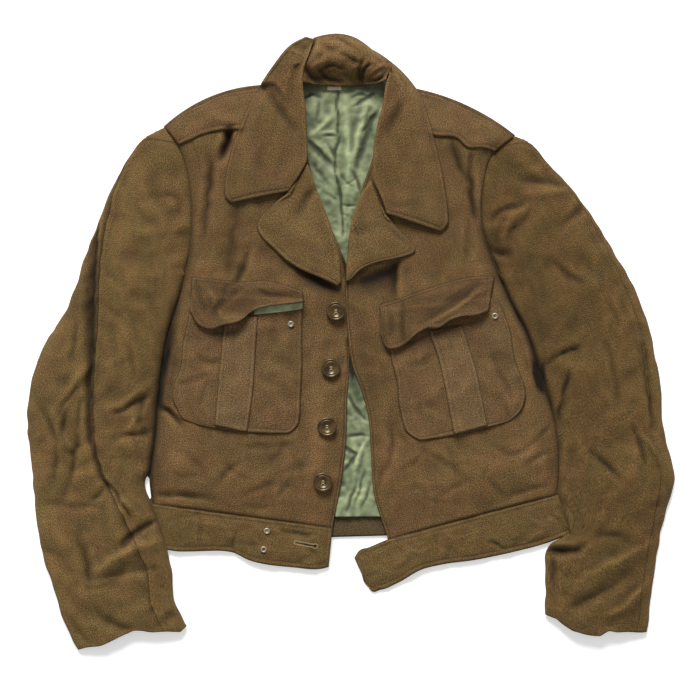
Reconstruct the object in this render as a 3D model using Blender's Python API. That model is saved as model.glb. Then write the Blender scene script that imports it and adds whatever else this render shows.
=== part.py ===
"""Short wool field jacket, laid open-necked on its back on a flat surface.

Every cut-and-sewn piece is a thin cloth wall. A wall is lofted through a table of rows,
and each row runs from one edge of the piece to the other. Tables are in millimetres:
+X to the wearer's left, +Y to the collar, +Z up from the surface that the jacket lies on.
"""
import math
from collections import namedtuple

import bmesh
import bpy
import numpy as np
from mathutils import Vector
from mathutils.bvhtree import BVHTree

MM = 0.001

# driving sizes, in millimetres
WOOL = 1.6            # outer cloth
BAND = 2.4            # front waistband, two layers pressed together
BACK_BAND = 2.0       # back waistband, pressed flat under the garment
SATIN = 1.0           # lining
TAG = 0.6             # woven tag at the neck
SEAM = 0.3            # gap between neighbouring pieces
REST = 0.4            # gap between a piece and the cloth that it lies on
PROBE = 3.0           # pitch of the points where a lying piece is tested against the cloth below
ARMHOLE_GAP = 0.4     # gap between a sleeve's first ring and the armhole
SLEEVE_EDGE = 4.0     # height of the fold along both edges of a flattened sleeve
SLEEVE_STEP = 2.2     # how far the top sleeve stands over the under sleeve at the hind-arm seam
SIDE_GAP = 0.9        # least gap between a sleeve's inner edge and the body's side seam
# places on a flattened sleeve, as shares of its width from the outer edge to the inner edge
FOREARM_SEAM = 0.75   # the seam under the sleeve
FOREARM_GAP = 0.0077  # the gap between the two pieces there
TOP_FLAT = 0.965      # where the top sleeve has reached the surface, at the inner edge
UNDER_FLAT = (0.5, 0.25, 0.035)  # where the under sleeve lies on the surface
BUTTON_D = 24.0
BUTTON_H = 4.2
STUD_D = 8.0
STUD_H = 2.2

# a row's height rises over this share of its width from the first edge, and falls to the last
RISE = 0.3
FALL = 0.45
FOLD_RUNS = 8         # straight runs that stand for a fold's curve

# heights of a row are given at its first edge, its middle and its last edge
Row = namedtuple("Row", "x0 y0 x1 y1 bow z0 zm z1")
# a sleeve row runs from the elbow side to the body side; seam is the hind-arm seam's place on it
SleeveRow = namedtuple("SleeveRow", "x0 y0 x1 y1 bow loft seam")
# a fold runs through three points; depth < 0 is a trough with a ridge on its left side
Fold = namedtuple("Fold", "xa ya xb yb xc yc depth width")
Round = namedtuple("Round", "name x y diameter height")

# ---------------------------------------------------------------- tables: body

# hem to shoulder; the first edge is the side seam, then the armhole from row PIT on
PIT = 8
FRONT_RIGHT = (
    Row(-250, -199.5, -24, -230, 0, 3.6, 10, 6),
    Row(-253, -165, -13, -170, 0, 3.6, 16, 9),
    Row(-247, -115, -7, -116, 0, 3.6, 17, 9),
    Row(-243, -65, -6, -71, 0, 3.6, 16, 9),
    Row(-239, -25, -6, -28, 0, 3.6, 15, 9),
    Row(-232, 12, -9, 12, 0, 3.6, 16, 10),
    Row(-222, 44, -11, 44, 0, 3.8, 16, 10),
    Row(-214, 68, -12, 70, 0, 4.5, 17, 10),
    Row(-209, 89, -13, 92, 0, 6, 17, 11),
    Row(-203, 112, -16, 114, 0, 10, 17, 12),
    Row(-200, 152, -29, 152, 0, 14, 17, 13),
    Row(-203, 200, -47, 198, 0, 15, 17, 16),
    Row(-211, 233, -57, 240, 0, 13, 17, 20),
    Row(-220, 251, -70, 282, 0, 10, 17, 18),
    Row(-235, 271, -94, 323, 15, 4, 5, 6),
)
FRONT_LEFT = (
    Row(257, -187.7, 45, -244, 0, 3.6, 10, 6),
    Row(260, -165, 28, -190, 0, 3.6, 16, 9),
    Row(259, -125, 24, -140, 0, 3.6, 17, 9),
    Row(253, -92, 21, -96, 0, 3.6, 16, 9),
    Row(241, -49, 11, -56, 0, 3.6, 16, 10),
    Row(233, -24, 1, -29, 0, 3.6, 16, 11),
    Row(219, 15, -5, 12, 0, 3.8, 17, 11),
    Row(201, 50, -8, 50, 0, 4.5, 17, 11),
    Row(184, 88, -8, 84, 0, 6, 17, 11),
    Row(174, 112, -6, 108, 0, 10, 17, 12),
    Row(163, 145, -2, 142, 0, 14, 17, 13),
    Row(163, 190, 12, 190, 0, 15, 17, 16),
    Row(170, 225, 25, 228, 0, 13, 17, 20),
    Row(184, 245, 42, 280, 0, 10, 17, 18),
    Row(204, 260, 65, 321, -10, 4, 5, 6),
)
HEM_BOW = -21          # the back hem sags this far below a straight line
HEM_ROWS = 4           # over this many rows of points
SHOULDER_LINE = ((-235, 271), (-189, 300), (-161, 314), (-120, 322), (65, 321), (126, 304),
                 (164, 285), (204, 260))

BACK_LINING = (
    Row(-60, 317, 38, 317, 0, 3.1, 3.1, 3.1),
    Row(-68, 280, 50, 280, 0, 3.1, 4.5, 3.1),
    Row(-80, 200, 60, 200, 0, 3.1, 4.5, 3.1),
    Row(-75, 80, 62, 80, 0, 3.1, 3.6, 3.1),
    Row(-66, -60, 80, -60, 0, 3.1, 4.2, 3.1),
    Row(-60, -205, 70, -200, -6, 3.1, 3.6, 3.1),
)
NECK_LABEL = (
    Row(-29, 314, -29, 308, 0, 0, 0, 0),
    Row(-14, 314, -14, 308, 0, 0, 0, 0),
)

WAISTBAND_RIGHT = (
    Row(-250, -199.9, -231, -258, 0, 5, 6.5, 5),
    Row(-220, -203.9, -216, -260, 0, 8, 8.5, 6),
    Row(-201, -206.5, -201, -260, 0, 9, 9, 6),
    Row(-160, -212.1, -150, -261, 0, 9, 9, 6),
    Row(-130, -216.1, -128, -271, 0, 9, 9, 6),
    Row(-72, -223.9, -72, -280, 0, 8.5, 9, 6),
    Row(-34, -229.0, -36, -281, 0, 7, 8, 5.5),
    Row(-24, -230.4, -28, -272, 0, 6, 7, 5.5),
)
WAISTBAND_LEFT = (
    Row(3, -268, 16, -296, 0, 3, 3.2, 3),
    Row(8, -260, 23, -308, 0, 3, 4, 3),
    Row(22, -254.5, 36, -308, 0, 3.6, 5, 3.6),
    Row(45, -244.8, 58, -299, 0, 6, 8, 5),
    Row(80, -235.4, 86, -283, 0, 8, 9, 6),
    Row(112, -226.9, 114, -276, 0, 9, 9, 6),
    Row(151, -216.5, 151, -271, 0, 9, 9, 6),
    Row(199, -203.8, 200, -261, 0, 9, 9, 6),
    Row(232, -195.0, 242, -250, 0, 7, 8, 5.4),
    Row(257, -188.3, 274, -238, 0, 5, 6.5, 5),
)
WAISTBAND_BACK = (
    Row(-249, -200.1, 256, -188.4, HEM_BOW, 2, 2, 2),
    Row(-231, -250, 264, -236, 2, 2, 2, 2),
)

# ---------------------------------------------------------------- tables: collar

# break point up to the gorge seam; the first edge is the free one, the last is the roll
LAPEL_RIGHT = (
    Row(-20, 72, -13, 75, 0, 14, 14, 13),
    Row(-38, 81, -14, 88, 0, 16, 16, 14),
    Row(-60, 90, -15, 103, 0, 18, 18, 15),
    Row(-79, 101, -18, 119, 0, 20, 20, 15),
    Row(-99, 119, -23, 136, 0, 21, 21, 16),
    Row(-115, 136, -30, 157, 0, 21, 22, 17),
    Row(-118, 147, -36, 172, 0, 21, 22, 18),
    Row(-110, 161, -42, 187, 0, 21, 22, 20),
    Row(-96, 173, -48, 205, 0, 21, 22, 22),
    Row(-77, 185, -55, 223, 0, 22, 23, 24),
)
LAPEL_LEFT = (
    Row(0, 81, -7, 77, 0, 14, 14, 13),
    Row(14, 93, -7, 90, 0, 16, 16, 14),
    Row(34, 101, -6, 104, 0, 18, 18, 15),
    Row(62, 107, -4, 121, 0, 20, 20, 15),
    Row(79, 114, -3, 137, 0, 20, 21, 16),
    Row(72, 127, 0, 154, 0, 21, 22, 17),
    Row(62, 137, 5, 171, 0, 21, 22, 18),
    Row(51, 148, 12, 187, 0, 21, 22, 20),
    Row(41, 157, 23, 202, 0, 22, 23, 24),
)
# lower edge up to the top of the roll; the first edge is the free one, the last is the roll
COLLAR_LEAF_RIGHT = (
    Row(-150, 174, -79, 189, 0, 20, 24, 25),
    Row(-157, 181, -73, 197, 0, 21, 26, 26),
    Row(-159, 192, -65, 209, 0, 21, 26, 27),
    Row(-158, 206, -56, 226, 0, 21, 26, 27),
    Row(-154, 226, -55, 245, 0, 21, 26, 28),
    Row(-148, 247, -56, 266, 0, 21, 26, 29),
    Row(-137, 277, -57, 290, 0, 19, 26, 30),
    Row(-126, 302, -60, 312, 0, 16, 25, 31),
    Row(-114, 321, -61, 328, 0, 12, 24, 31),
    Row(-98, 345, -59, 343, 0, 8, 20, 30),
    Row(-78, 370, -54, 357, 0, 6, 16, 29),
    Row(-62, 380, -51, 371, 0, 6, 12, 23),
)
COLLAR_LEAF_LEFT = (
    Row(111, 138, 43, 161, 0, 20, 24, 25),
    Row(119, 147, 40, 171, 0, 21, 26, 26),
    Row(120, 161, 34, 186, 0, 21, 26, 27),
    Row(118, 181, 26, 205, 0, 21, 26, 27),
    Row(114, 205, 26, 225, 0, 21, 26, 28),
    Row(109, 231, 27, 246, 0, 21, 26, 29),
    Row(99, 269, 32, 273, 0, 19, 26, 30),
    Row(87, 306, 39, 301, 0, 14, 25, 31),
    Row(76, 324, 42, 321, 0, 10, 21, 30),
    Row(60, 342, 47, 338, 0, 8, 15, 24),
    Row(40, 358, 42, 349, 0, 7, 9, 14),
    Row(14, 373, 22, 364, 0, 7, 8, 10),
)
# neck seam up over the roll of cloth to its far edge
COLLAR_STAND = (
    Row(-61, 319, 43, 319, 0, 28, 8, 25),
    Row(-61, 334, 43, 333, 0, 28, 17, 25),
    Row(-60, 346, 46, 340, 0, 28, 27, 24),
    Row(-55, 358, 41, 347, 5, 27, 30, 24),
    Row(-50, 370, 30, 355, 9, 21, 27, 19),
    Row(-47, 380, 20, 362, 12, 14, 16, 12),
)
COLLAR_FALL = (
    Row(-62, 324, 44, 324, 0, 1.6, 1.6, 1.6),
    Row(-66, 350, 46, 341, 3, 1.6, 1.6, 1.6),
    Row(-60, 365, 34, 352, 9, 1.6, 1.6, 1.6),
    Row(-54, 373, 24, 358, 12, 6, 7, 5),
    Row(-47, 380, 19, 362, 12, 12, 14, 10),
)

# ---------------------------------------------------------------- tables: laid on the fronts
# heights from here on are above the cloth below

SHOULDER_STRAP_RIGHT = (
    Row(-232, 269, -215, 247, 0, 0, 1, 0.5),
    Row(-214, 286, -203, 252, 0, 0, 2, 1),
    Row(-189, 298, -189, 259, 0, 0, 2.5, 1),
    Row(-161, 311, -164, 265, 0, 0, 2.5, 1),
    Row(-130, 317, -139, 266, 0, 0, 2, 0.5),
    Row(-103, 320, -112, 268, 0, 0, 0, 0),
)
SHOULDER_STRAP_LEFT = (
    Row(202, 258, 177, 239, 0, 0, 1, 0.5),
    Row(184, 270, 162, 243, 0, 0, 2, 1),
    Row(164, 282, 146, 243, 0, 0, 2.5, 1),
    Row(128, 300, 128, 256, 0, 0, 2.5, 1),
    Row(99, 311, 104, 258, 0, 0, 2, 0.5),
    Row(76, 316, 84, 264, 0, 0, 0, 0),
)
# bottom to top
POCKET_RIGHT = (
    Row(-190, -101, -78, -112, -4, 0, 0.5, 0),
    Row(-208, -95, -69, -104, -3, 0.5, 1, 0.5),
    Row(-217, -83, -65, -91, 0, 1, 1.5, 1),
    Row(-224, -66, -64, -70, 0, 2, 1.5, 1),
    Row(-221, -49, -63, -50, 0, 2, 1.5, 1),
    Row(-214, -30, -62, -28, 0, 1, 1, 1),
    Row(-211, 0, -62, 0, 0, 0.5, 1, 0.5),
    Row(-204, 33, -62, 28, 0, 0.5, 1, 0.5),
    Row(-199, 62, -61, 54, 0, 0, 0.5, 0),
)
POCKET_LEFT = (
    Row(84, -121, 196, -97, -3, 0, 0.5, 0),
    Row(70, -112, 209, -86, -2, 0.5, 1, 0.5),
    Row(63, -96, 216, -68, 0, 1, 1.5, 1),
    Row(58, -74, 215, -52, 0, 1, 1.5, 1.5),
    Row(56, -50, 207, -32, 0, 1, 1.5, 1.5),
    Row(50, -25, 201, -9, 0, 1, 1, 1),
    Row(45, 0, 197, 18, 0, 0.5, 1, 0.5),
    Row(40, 25, 189, 40, 0, 0.5, 1, 0.5),
    Row(38, 42, 182, 56, 0, 0, 0.5, 0),
)
POCKET_PLEAT_RIGHT = (
    Row(-171, -102, -130, -110, 0, 0, 0.6, 0),
    Row(-167, -52, -123, -60, 0, 0, 1, 0),
    Row(-163, -10, -120, -15, 0, 0, 1, 0),
    Row(-159, 34, -117, 33, 0, 0, 0.6, 0),
)
POCKET_PLEAT_LEFT = (
    Row(127, -113, 169, -102, 0, 0, 0.6, 0),
    Row(119, -74, 162, -66, 0, 0, 1, 0),
    Row(112, -38, 155, -34, 0, 0, 1, 0),
    Row(105, -12, 147, -6, 0, 0, 1, 0),
    Row(95, 15, 137, 22, 0, 0, 0.6, 0),
)
# side to front edge; the first edge is the sewn one, the last is the loose, curling one
POCKET_FLAP_RIGHT = (
    Row(-200, 83, -202, 42, 0, 0, 2, 3),
    Row(-190, 82, -192, 24, 0, 0, 2, 4),
    Row(-176, 81, -176, 17, 0, 0, 2, 4),
    Row(-161, 79, -160, 23, 0, 0, 2, 5),
    Row(-143, 77, -142, 26, 0, 0, 2, 3),
    Row(-122, 78, -122, 40, 0, 0, 3, 4),
    Row(-103, 78, -103, 46, 0, 0, 3, 6),
    Row(-80, 72, -80, 49, 0, 0, 3, 7),
    Row(-61, 65, -60, 52, 0, 0, 2, 5),
)
POCKET_FLAP_LEFT = (
    Row(34, 48, 35, 14, 0, 0, 2, 3),
    Row(41, 51, 42, -5, 0, 0, 2, 4),
    Row(52, 54, 54, -7, 0, 0, 2, 4),
    Row(64, 58, 68, 0, 0, 0, 2, 5),
    Row(77, 63, 80, 11, 0, 0, 2, 6),
    Row(92, 68, 94, 19, 0, 0, 3, 6),
    Row(108, 73, 108, 19, 0, 0, 3, 6),
    Row(121, 77, 122, 28, 0, 0, 3, 7),
    Row(136, 81, 137, 33, 0, 0, 3, 7),
    Row(156, 84, 155, 35, 0, 0, 2, 5),
    Row(178, 84, 170, 40, 0, 0, 2, 4),
)
FLAP_LINING_RIGHT = (
    Row(-122, 44, -122, 36, 0, 0, 0.5, 1),
    Row(-100, 49, -100, 38, 0, 0, 1, 1),
    Row(-80, 52, -80, 40, 0, 0, 1, 1),
    Row(-61, 55, -61, 43, 0, 0, 0.5, 0.5),
)

# ---------------------------------------------------------------- tables: sleeves

SLEEVE_RIGHT = (
    SleeveRow(-262, 249, -213, 79, 0, 16, 0.09),
    SleeveRow(-283, 220, -216, 66, 0, 20, 0.08),
    SleeveRow(-305, 175, -222, 42, 0, 23, 0.07),
    SleeveRow(-332, 112, -231, 12, 0, 24, 0.16),
    SleeveRow(-353, 50, -236, -22, 0, 24, 0.3),
    SleeveRow(-388, -16, -241, -54, 0, 24, 0.46),
    SleeveRow(-402, -80, -246, -98, 0, 23, 0.53),
    SleeveRow(-401, -145, -258, -160, 0, 22, 0.62),
    SleeveRow(-396, -195, -256, -194, 0, 21, 0.72),
    SleeveRow(-391, -243, -238, -238, 0, 19, 0.77),
    SleeveRow(-371, -312, -225, -285, 0, 17, 0.8),
    SleeveRow(-359, -350, -221, -322, 0, 16, 0.8),
    SleeveRow(-342, -382, -207, -352, -2, 14, 0.8),
)
SLEEVE_LEFT = (
    SleeveRow(226, 248, 189, 82, 0, 16, 0.1),
    SleeveRow(242, 229, 194, 70, 0, 20, 0.1),
    SleeveRow(285, 182, 209, 38, 0, 23, 0.09),
    SleeveRow(325, 118, 222, 6, 0, 24, 0.08),
    SleeveRow(357, 60, 232, -22, 0, 24, 0.08),
    SleeveRow(375, 6, 239, -46, 0, 24, 0.09),
    SleeveRow(386, -60, 250, -86, 0, 23, 0.12),
    SleeveRow(391, -118, 258, -130, 0, 22, 0.13),
    SleeveRow(401, -168, 258, -178, 0, 22, 0.13),
    SleeveRow(394, -204, 267, -208, 0, 21, 0.12),
    SleeveRow(387, -236, 281, -238, 0, 18, 0.11),
    SleeveRow(384, -252, 247, -253, 0, 17, 0.1),
    SleeveRow(376, -296, 242, -296, 0, 17, 0.1),
    SleeveRow(369, -358, 242, -338, 13, 14, 0.1),
)

# ---------------------------------------------------------------- tables: folds

FOLDS = (
    # right front: below the strap, from the lapel down to the flap, then the lower body
    Fold(-175, 243, -176, 190, -190, 130, -4, 9),
    Fold(-126, 119, -146, 72, -168, 40, -4, 10),
    Fold(-232, -68, -216, -100, -208, -125, -4, 9),
    Fold(-131, -128, -108, -131, -80, -130, -3, 8),
    Fold(-168, -175, -150, -160, -145, -152, -3, 8),
    Fold(-120, -185, -100, -180, -80, -175, -3, 8),
    # left front: along the sleeve head, under the lapel, and the lower body
    Fold(148, 232, 150, 172, 181, 105, -4, 9),
    Fold(126, 255, 136, 217, 144, 200, -4, 9),
    Fold(69, 106, 63, 77, 62, 52, -4, 10),
    Fold(110, -190, 144, -170, 85, -126, -4, 9),
    Fold(190, -132, 204, -135, 240, -115, -3, 8),
    Fold(34, -182, 45, -153, 54, -121, -3, 8),
    # right sleeve: creases across the elbow, then towards the cuff
    Fold(-262, 177, -222, 183, -214, 163, -3, 9),
    Fold(-322, -24, -345, -52, -362, -85, -5, 9),
    Fold(-384, -86, -368, -118, -374, -196, -4, 9),
    Fold(-346, -118, -340, -146, -352, -186, -4, 9),
    Fold(-300, -86, -280, -78, -252, -56, -4, 9),
    Fold(-302, -122, -278, -114, -258, -128, -3, 8),
    Fold(-322, -293, -280, -262, -240, -246, -5, 10),
    Fold(-338, -258, -326, -284, -316, -308, -4, 9),
    Fold(-314, -330, -300, -345, -280, -352, -4, 10),
    # left sleeve: dimples at the head, the long creases of the elbow, diagonals at the cuff
    Fold(216, 206, 236, 196, 258, 204, -5, 11),
    Fold(182, 150, 192, 166, 212, 172, -4, 9),
    Fold(198, 152, 210, 148, 222, 160, -3, 9),
    Fold(272, 84, 284, 90, 298, 88, -3, 9),
    Fold(308, 8, 326, -30, 330, -78, -4, 9),
    Fold(362, -10, 370, -62, 384, -148, -4, 8),
    Fold(350, -106, 360, -140, 366, -152, -3, 8),
    Fold(296, -135, 320, -156, 336, -172, -4, 9),
    Fold(270, -320, 298, -302, 328, -284, -5, 10),
    Fold(334, -340, 352, -320, 372, -298, -4, 9),
    # collar leaves
    Fold(-92, 292, -84, 284, -76, 276, -3, 9),
    Fold(62, 300, 56, 284, 46, 262, -3, 9),
    # lining: centre pleat and the creases beside it
    Fold(-18, 312, -18, 230, -12, 110, -1.4, 5),
    Fold(-54, 248, -38, 232, -24, 218, -1.2, 6),
    Fold(34, 290, 20, 250, 4, 218, -1.2, 6),
    Fold(-10, -60, 10, -110, 4, -180, -1.2, 7),
)

# ---------------------------------------------------------------- tables: buttons and studs

BUTTONS = (
    Round("button_1", -20, 40, BUTTON_D, BUTTON_H),
    Round("button_2", -26, -31, BUTTON_D, BUTTON_H),
    Round("button_3", -31, -104, BUTTON_D, BUTTON_H),
    Round("button_4", -36, -173, BUTTON_D, BUTTON_H),
)
POCKET_STUDS = (
    Round("pocket_stud_right", -76, 24, STUD_D, STUD_H),
    Round("pocket_stud_left", 178, 34, STUD_D, STUD_H),
)
BAND_STUDS = (
    Round("band_stud_upper", -106, -234, STUD_D, STUD_H),
    Round("band_stud_lower", -110, -257, STUD_D, STUD_H),
)


# ---------------------------------------------------------------- materials

def material(name, red, green, blue, roughness, metallic=0.0):
    """A Principled material from an sRGB colour given in 0-255."""
    made = bpy.data.materials.new(name)
    made.use_nodes = True
    shader = made.node_tree.nodes["Principled BSDF"]
    linear = [((c / 255 + 0.055) / 1.055) ** 2.4 for c in (red, green, blue)]
    shader.inputs["Base Color"].default_value = (*linear, 1.0)
    shader.inputs["Roughness"].default_value = roughness
    shader.inputs["Metallic"].default_value = metallic
    return made


def wool(name):
    return material(name, 106, 83, 54, 0.95)


def lining_cloth(name):
    return material(name, 130, 138, 106, 0.5)


# ---------------------------------------------------------------- cloth surfaces, as point grids

def across(row, fractions):
    """Points of one row, from its first edge to its last, as an array of x, y, z."""
    t = np.asarray(fractions, float)
    start = np.array((row.x0, row.y0), float)
    run = np.array((row.x1, row.y1), float) - start
    sideways = np.array((-run[1], run[0])) / np.hypot(*run)
    plan = start + np.outer(t, run) + np.outer(4 * t * (1 - t) * row.bow, sideways)
    rise = np.sin(0.5 * math.pi * np.clip(t / RISE, 0, 1))
    fall = np.sin(0.5 * math.pi * np.clip((1 - t) / FALL, 0, 1))
    height = row.z0 + (row.zm - row.z0) * rise + (row.z1 - row.zm) * (1 - fall)
    return np.column_stack((plan, height))


def loft(sections, steps, middles=None):
    """A smooth grid through the sections, with steps rows from each one to the next.

    The sections are as far apart as their middles, which pieces that share a seam share.
    """
    stack = np.array(sections, float)
    if middles is None:
        middles = stack.mean(axis=1)
    gaps = np.maximum(np.linalg.norm(np.diff(middles, axis=0), axis=1), 1.0)
    place = np.concatenate(((0.0,), np.cumsum(gaps)))
    slopes = np.gradient(stack, place, axis=0)
    rows = [stack[0]]
    for k, gap in enumerate(gaps):
        for step in range(1, steps + 1):
            t = step / steps
            rows.append((2 * t ** 3 - 3 * t ** 2 + 1) * stack[k]
                        + (t ** 3 - 2 * t ** 2 + t) * gap * slopes[k]
                        + (3 * t ** 2 - 2 * t ** 3) * stack[k + 1]
                        + (t ** 3 - t ** 2) * gap * slopes[k + 1])
    return np.array(rows)


def panel(table, columns, steps):
    fractions = np.linspace(0, 1, columns + 1)
    return loft([across(row, fractions) for row in table], steps)


def fold_height(x, y, fold):
    """Height that one fold adds at points x, y: a soft trough with a low ridge beside it."""
    best = np.full(np.shape(x), 1e9)
    side = np.zeros(np.shape(x))
    along = np.zeros(np.shape(x))
    a, b, c = (np.array(p, float) for p in
               ((fold.xa, fold.ya), (fold.xb, fold.yb), (fold.xc, fold.yc)))
    bend = 2 * b - 0.5 * (a + c)
    curve = [(1 - t) ** 2 * a + 2 * t * (1 - t) * bend + t ** 2 * c
             for t in np.linspace(0, 1, FOLD_RUNS + 1)]
    for k, (p, q) in enumerate(zip(curve, curve[1:])):
        run = q - p
        length = np.hypot(*run)
        t = np.clip(((x - p[0]) * run[0] + (y - p[1]) * run[1]) / length ** 2, 0, 1)
        far_x = x - p[0] - t * run[0]
        far_y = y - p[1] - t * run[1]
        far = np.hypot(far_x, far_y)
        closer = far < best
        best = np.where(closer, far, best)
        side = np.where(closer, np.sign(run[0] * far_y - run[1] * far_x) * far, side)
        along = np.where(closer, (k + t) / FOLD_RUNS, along)
    taper = np.sin(math.pi * np.clip(0.08 + 0.84 * along, 0, 1)) ** 0.7
    trough = np.exp(-(best / fold.width) ** 2)
    ridge = np.exp(-((side - 1.7 * fold.width) / fold.width) ** 2 - (best / fold.width / 3) ** 4)
    return fold.depth * (trough - 0.6 * ridge) * taper


def crease(grid, weight=1.0):
    """Press all folds into a grid of points."""
    x, y = grid[..., 0], grid[..., 1]
    added = sum(fold_height(x, y, fold) for fold in FOLDS)
    grid[..., 2] += weight * added
    return grid


# ---------------------------------------------------------------- solids

def new_object(name, bm, finish):
    mesh = bpy.data.meshes.new(name)
    bmesh.ops.recalc_face_normals(bm, faces=bm.faces)
    bm.to_mesh(mesh)
    bm.free()
    mesh.materials.append(finish)
    mesh.shade_smooth()
    mesh.set_sharp_from_angle(angle=math.radians(50))
    made = bpy.data.objects.new(name, mesh)
    bpy.context.scene.collection.objects.link(made)
    return made


def wall(name, outer, inner, finish):
    """A closed cloth wall between two grids of points of the same size."""
    rows, columns = outer.shape[:2]
    bm = bmesh.new()
    bmesh.ops.create_grid(bm, x_segments=columns - 1, y_segments=rows - 1, size=1)
    bm.verts.ensure_lookup_table()
    skin = list(bm.verts)
    places = [(round((v.co.y + 1) / 2 * (rows - 1)), round((v.co.x + 1) / 2 * (columns - 1)))
              for v in skin]
    back = bmesh.ops.extrude_face_region(bm, geom=list(bm.faces), use_keep_orig=True)
    under = [item for item in back["geom"] if isinstance(item, bmesh.types.BMVert)]
    nearest = {place: vert for place, vert in zip(places, skin)}
    for vert in under:
        place = (round((vert.co.y + 1) / 2 * (rows - 1)), round((vert.co.x + 1) / 2 * (columns - 1)))
        vert.co = Vector(inner[place]) * MM
    for place, vert in nearest.items():
        vert.co = Vector(outer[place]) * MM
    bmesh.ops.triangulate(bm, faces=bm.faces, quad_method="FIXED")
    return new_object(name, bm, finish)


def lowered(grid, thickness):
    under = grid.copy()
    under[..., 2] -= thickness
    return under


def inward(grid, thickness):
    """The inner side of a wall round a tube: points moved towards the tube's middle line."""
    down_rows = np.gradient(grid, axis=0)
    down_columns = np.gradient(grid, axis=1)
    normal = np.cross(down_columns, down_rows)
    for end in (0, -1):
        lengthwise = down_rows[end].copy()
        lengthwise[:, 2] = 0
        lengthwise /= np.linalg.norm(lengthwise, axis=1, keepdims=True)
        normal[end] -= np.sum(normal[end] * lengthwise, axis=1, keepdims=True) * lengthwise
    normal /= np.linalg.norm(normal, axis=2, keepdims=True)
    away = np.sign(np.sum(normal * (grid - grid.mean(axis=1, keepdims=True))))
    return grid - thickness * away * normal


def tree_of(grid):
    """A search tree over a grid's triangles."""
    rows, columns = grid.shape[:2]
    points = [Vector(p) for p in grid.reshape(-1, 3)]
    faces = []
    for i in range(rows - 1):
        for j in range(columns - 1):
            a = i * columns + j
            faces.append((a, a + 1, a + columns + 1))
            faces.append((a, a + columns + 1, a + columns))
    return BVHTree.FromPolygons(points, faces), faces


def height_on(trees, x, y):
    """The highest cloth at x, y, or None where there is none."""
    hits = [tree.ray_cast(Vector((x, y, 500)), Vector((0, 0, -1)))[0] for tree in trees]
    found = [hit.z for hit in hits if hit is not None]
    return max(found) if found else None


def draped(grid, ground):
    """Lay a grid whose heights are above the cloth below on that cloth."""
    trees = [tree_of(g)[0] for g in ground]
    laid = grid.copy()
    for place in np.ndindex(*grid.shape[:2]):
        x, y, _ = grid[place]
        height = height_on(trees, x, y)
        if height is None:
            height = max(tree.find_nearest(Vector((x, y, 10)))[0].z for tree in trees)
        laid[place][2] += height
    return laid


def clear_of(grid, thickness, ground):
    """Raise a grid until its underside is clear of the cloth below."""
    trees = [tree_of(g)[0] for g in ground]
    low, high = grid.reshape(-1, 3).min(axis=0), grid.reshape(-1, 3).max(axis=0)
    columns = grid.shape[1]
    spots = [(x, y) for x in np.arange(low[0], high[0], PROBE)
             for y in np.arange(low[1], high[1], PROBE)]
    spots += [tuple(p[:2]) for p in grid.reshape(-1, 3)]
    spots += [tuple(p[:2]) for g in ground for p in g.reshape(-1, 3)
              if low[0] < p[0] < high[0] and low[1] < p[1] < high[1]]
    heights = {spot: height_on(trees, *spot) for spot in spots}
    for _ in range(6):
        tree, faces = tree_of(grid)
        raised = np.zeros(grid.shape[:2])
        for (x, y), height in heights.items():
            if height is None:
                continue
            hit, _, face, _ = tree.ray_cast(Vector((x, y, 500)), Vector((0, 0, -1)))
            if hit is None:
                continue
            short = height + REST + thickness - hit.z
            if short > 0:
                for corner in faces[face]:
                    place = (corner // columns, corner % columns)
                    raised[place] = max(raised[place], short)
        if raised.max() < 0.01:
            break
        grid[..., 2] += raised
    return grid


def sheet(name, grid, thickness, finish):
    """A cloth sheet whose upper side is the grid."""
    wall(name, grid, lowered(grid, thickness), finish)
    return grid


def lying(name, table, columns, steps, thickness, finish, ground, bend=0.0):
    """A sheet that lies on other cloth; its table gives its heights above that cloth."""
    grid = draped(panel(table, columns, steps), ground)
    grid[..., 2] += thickness + REST
    return sheet(name, clear_of(crease(grid, bend), thickness, ground), thickness, finish)


def turned(name, profile, segments, finish):
    """A round solid turned about Z from radius and height pairs, from the axis to the axis."""
    bm = bmesh.new()
    ring = [bm.verts.new((r * MM, 0, z * MM)) for r, z in profile]
    edges = [bm.edges.new(pair) for pair in zip(ring, ring[1:])]
    bmesh.ops.spin(bm, geom=ring + edges, cent=(0, 0, 0), axis=(0, 0, 1),
                   angle=2 * math.pi, steps=segments, use_merge=True)
    bmesh.ops.remove_doubles(bm, verts=bm.verts, dist=1e-6)
    return new_object(name, bm, finish)


def place_round(item, profile, segments, finish, ground):
    """Set a round piece on the highest cloth beneath it."""
    trees = [tree_of(g)[0] for g in ground]
    radius = item.diameter / 2
    spots = [(item.x + radius * f * math.cos(a), item.y + radius * f * math.sin(a))
             for f in (0, 0.5, 1) for a in np.linspace(0, 2 * math.pi, 24)]
    top = max(h for h in (height_on(trees, *spot) for spot in spots) if h is not None)
    made = turned(item.name, profile, segments, finish)
    made.location = (item.x * MM, item.y * MM, (top + SEAM) * MM)
    return made


# ---------------------------------------------------------------- the jacket, piece by piece

for old in list(bpy.data.objects):
    bpy.data.objects.remove(old)

STEPS = 2
FRONT_COLUMNS = 11
front_right = crease(panel(FRONT_RIGHT, FRONT_COLUMNS, STEPS))
front_left = crease(panel(FRONT_LEFT, FRONT_COLUMNS, STEPS))
for front in (front_right, front_left):
    # pressed flat along the side seam, where the front lies on the back
    front[:, 0, 2] = np.maximum(front[:, 0, 2], WOOL + REST + WOOL)

sheet("front_right", front_right, WOOL, wool("wool, right front"))
sheet("front_left", front_left, WOOL, wool("wool, left front"))


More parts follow.
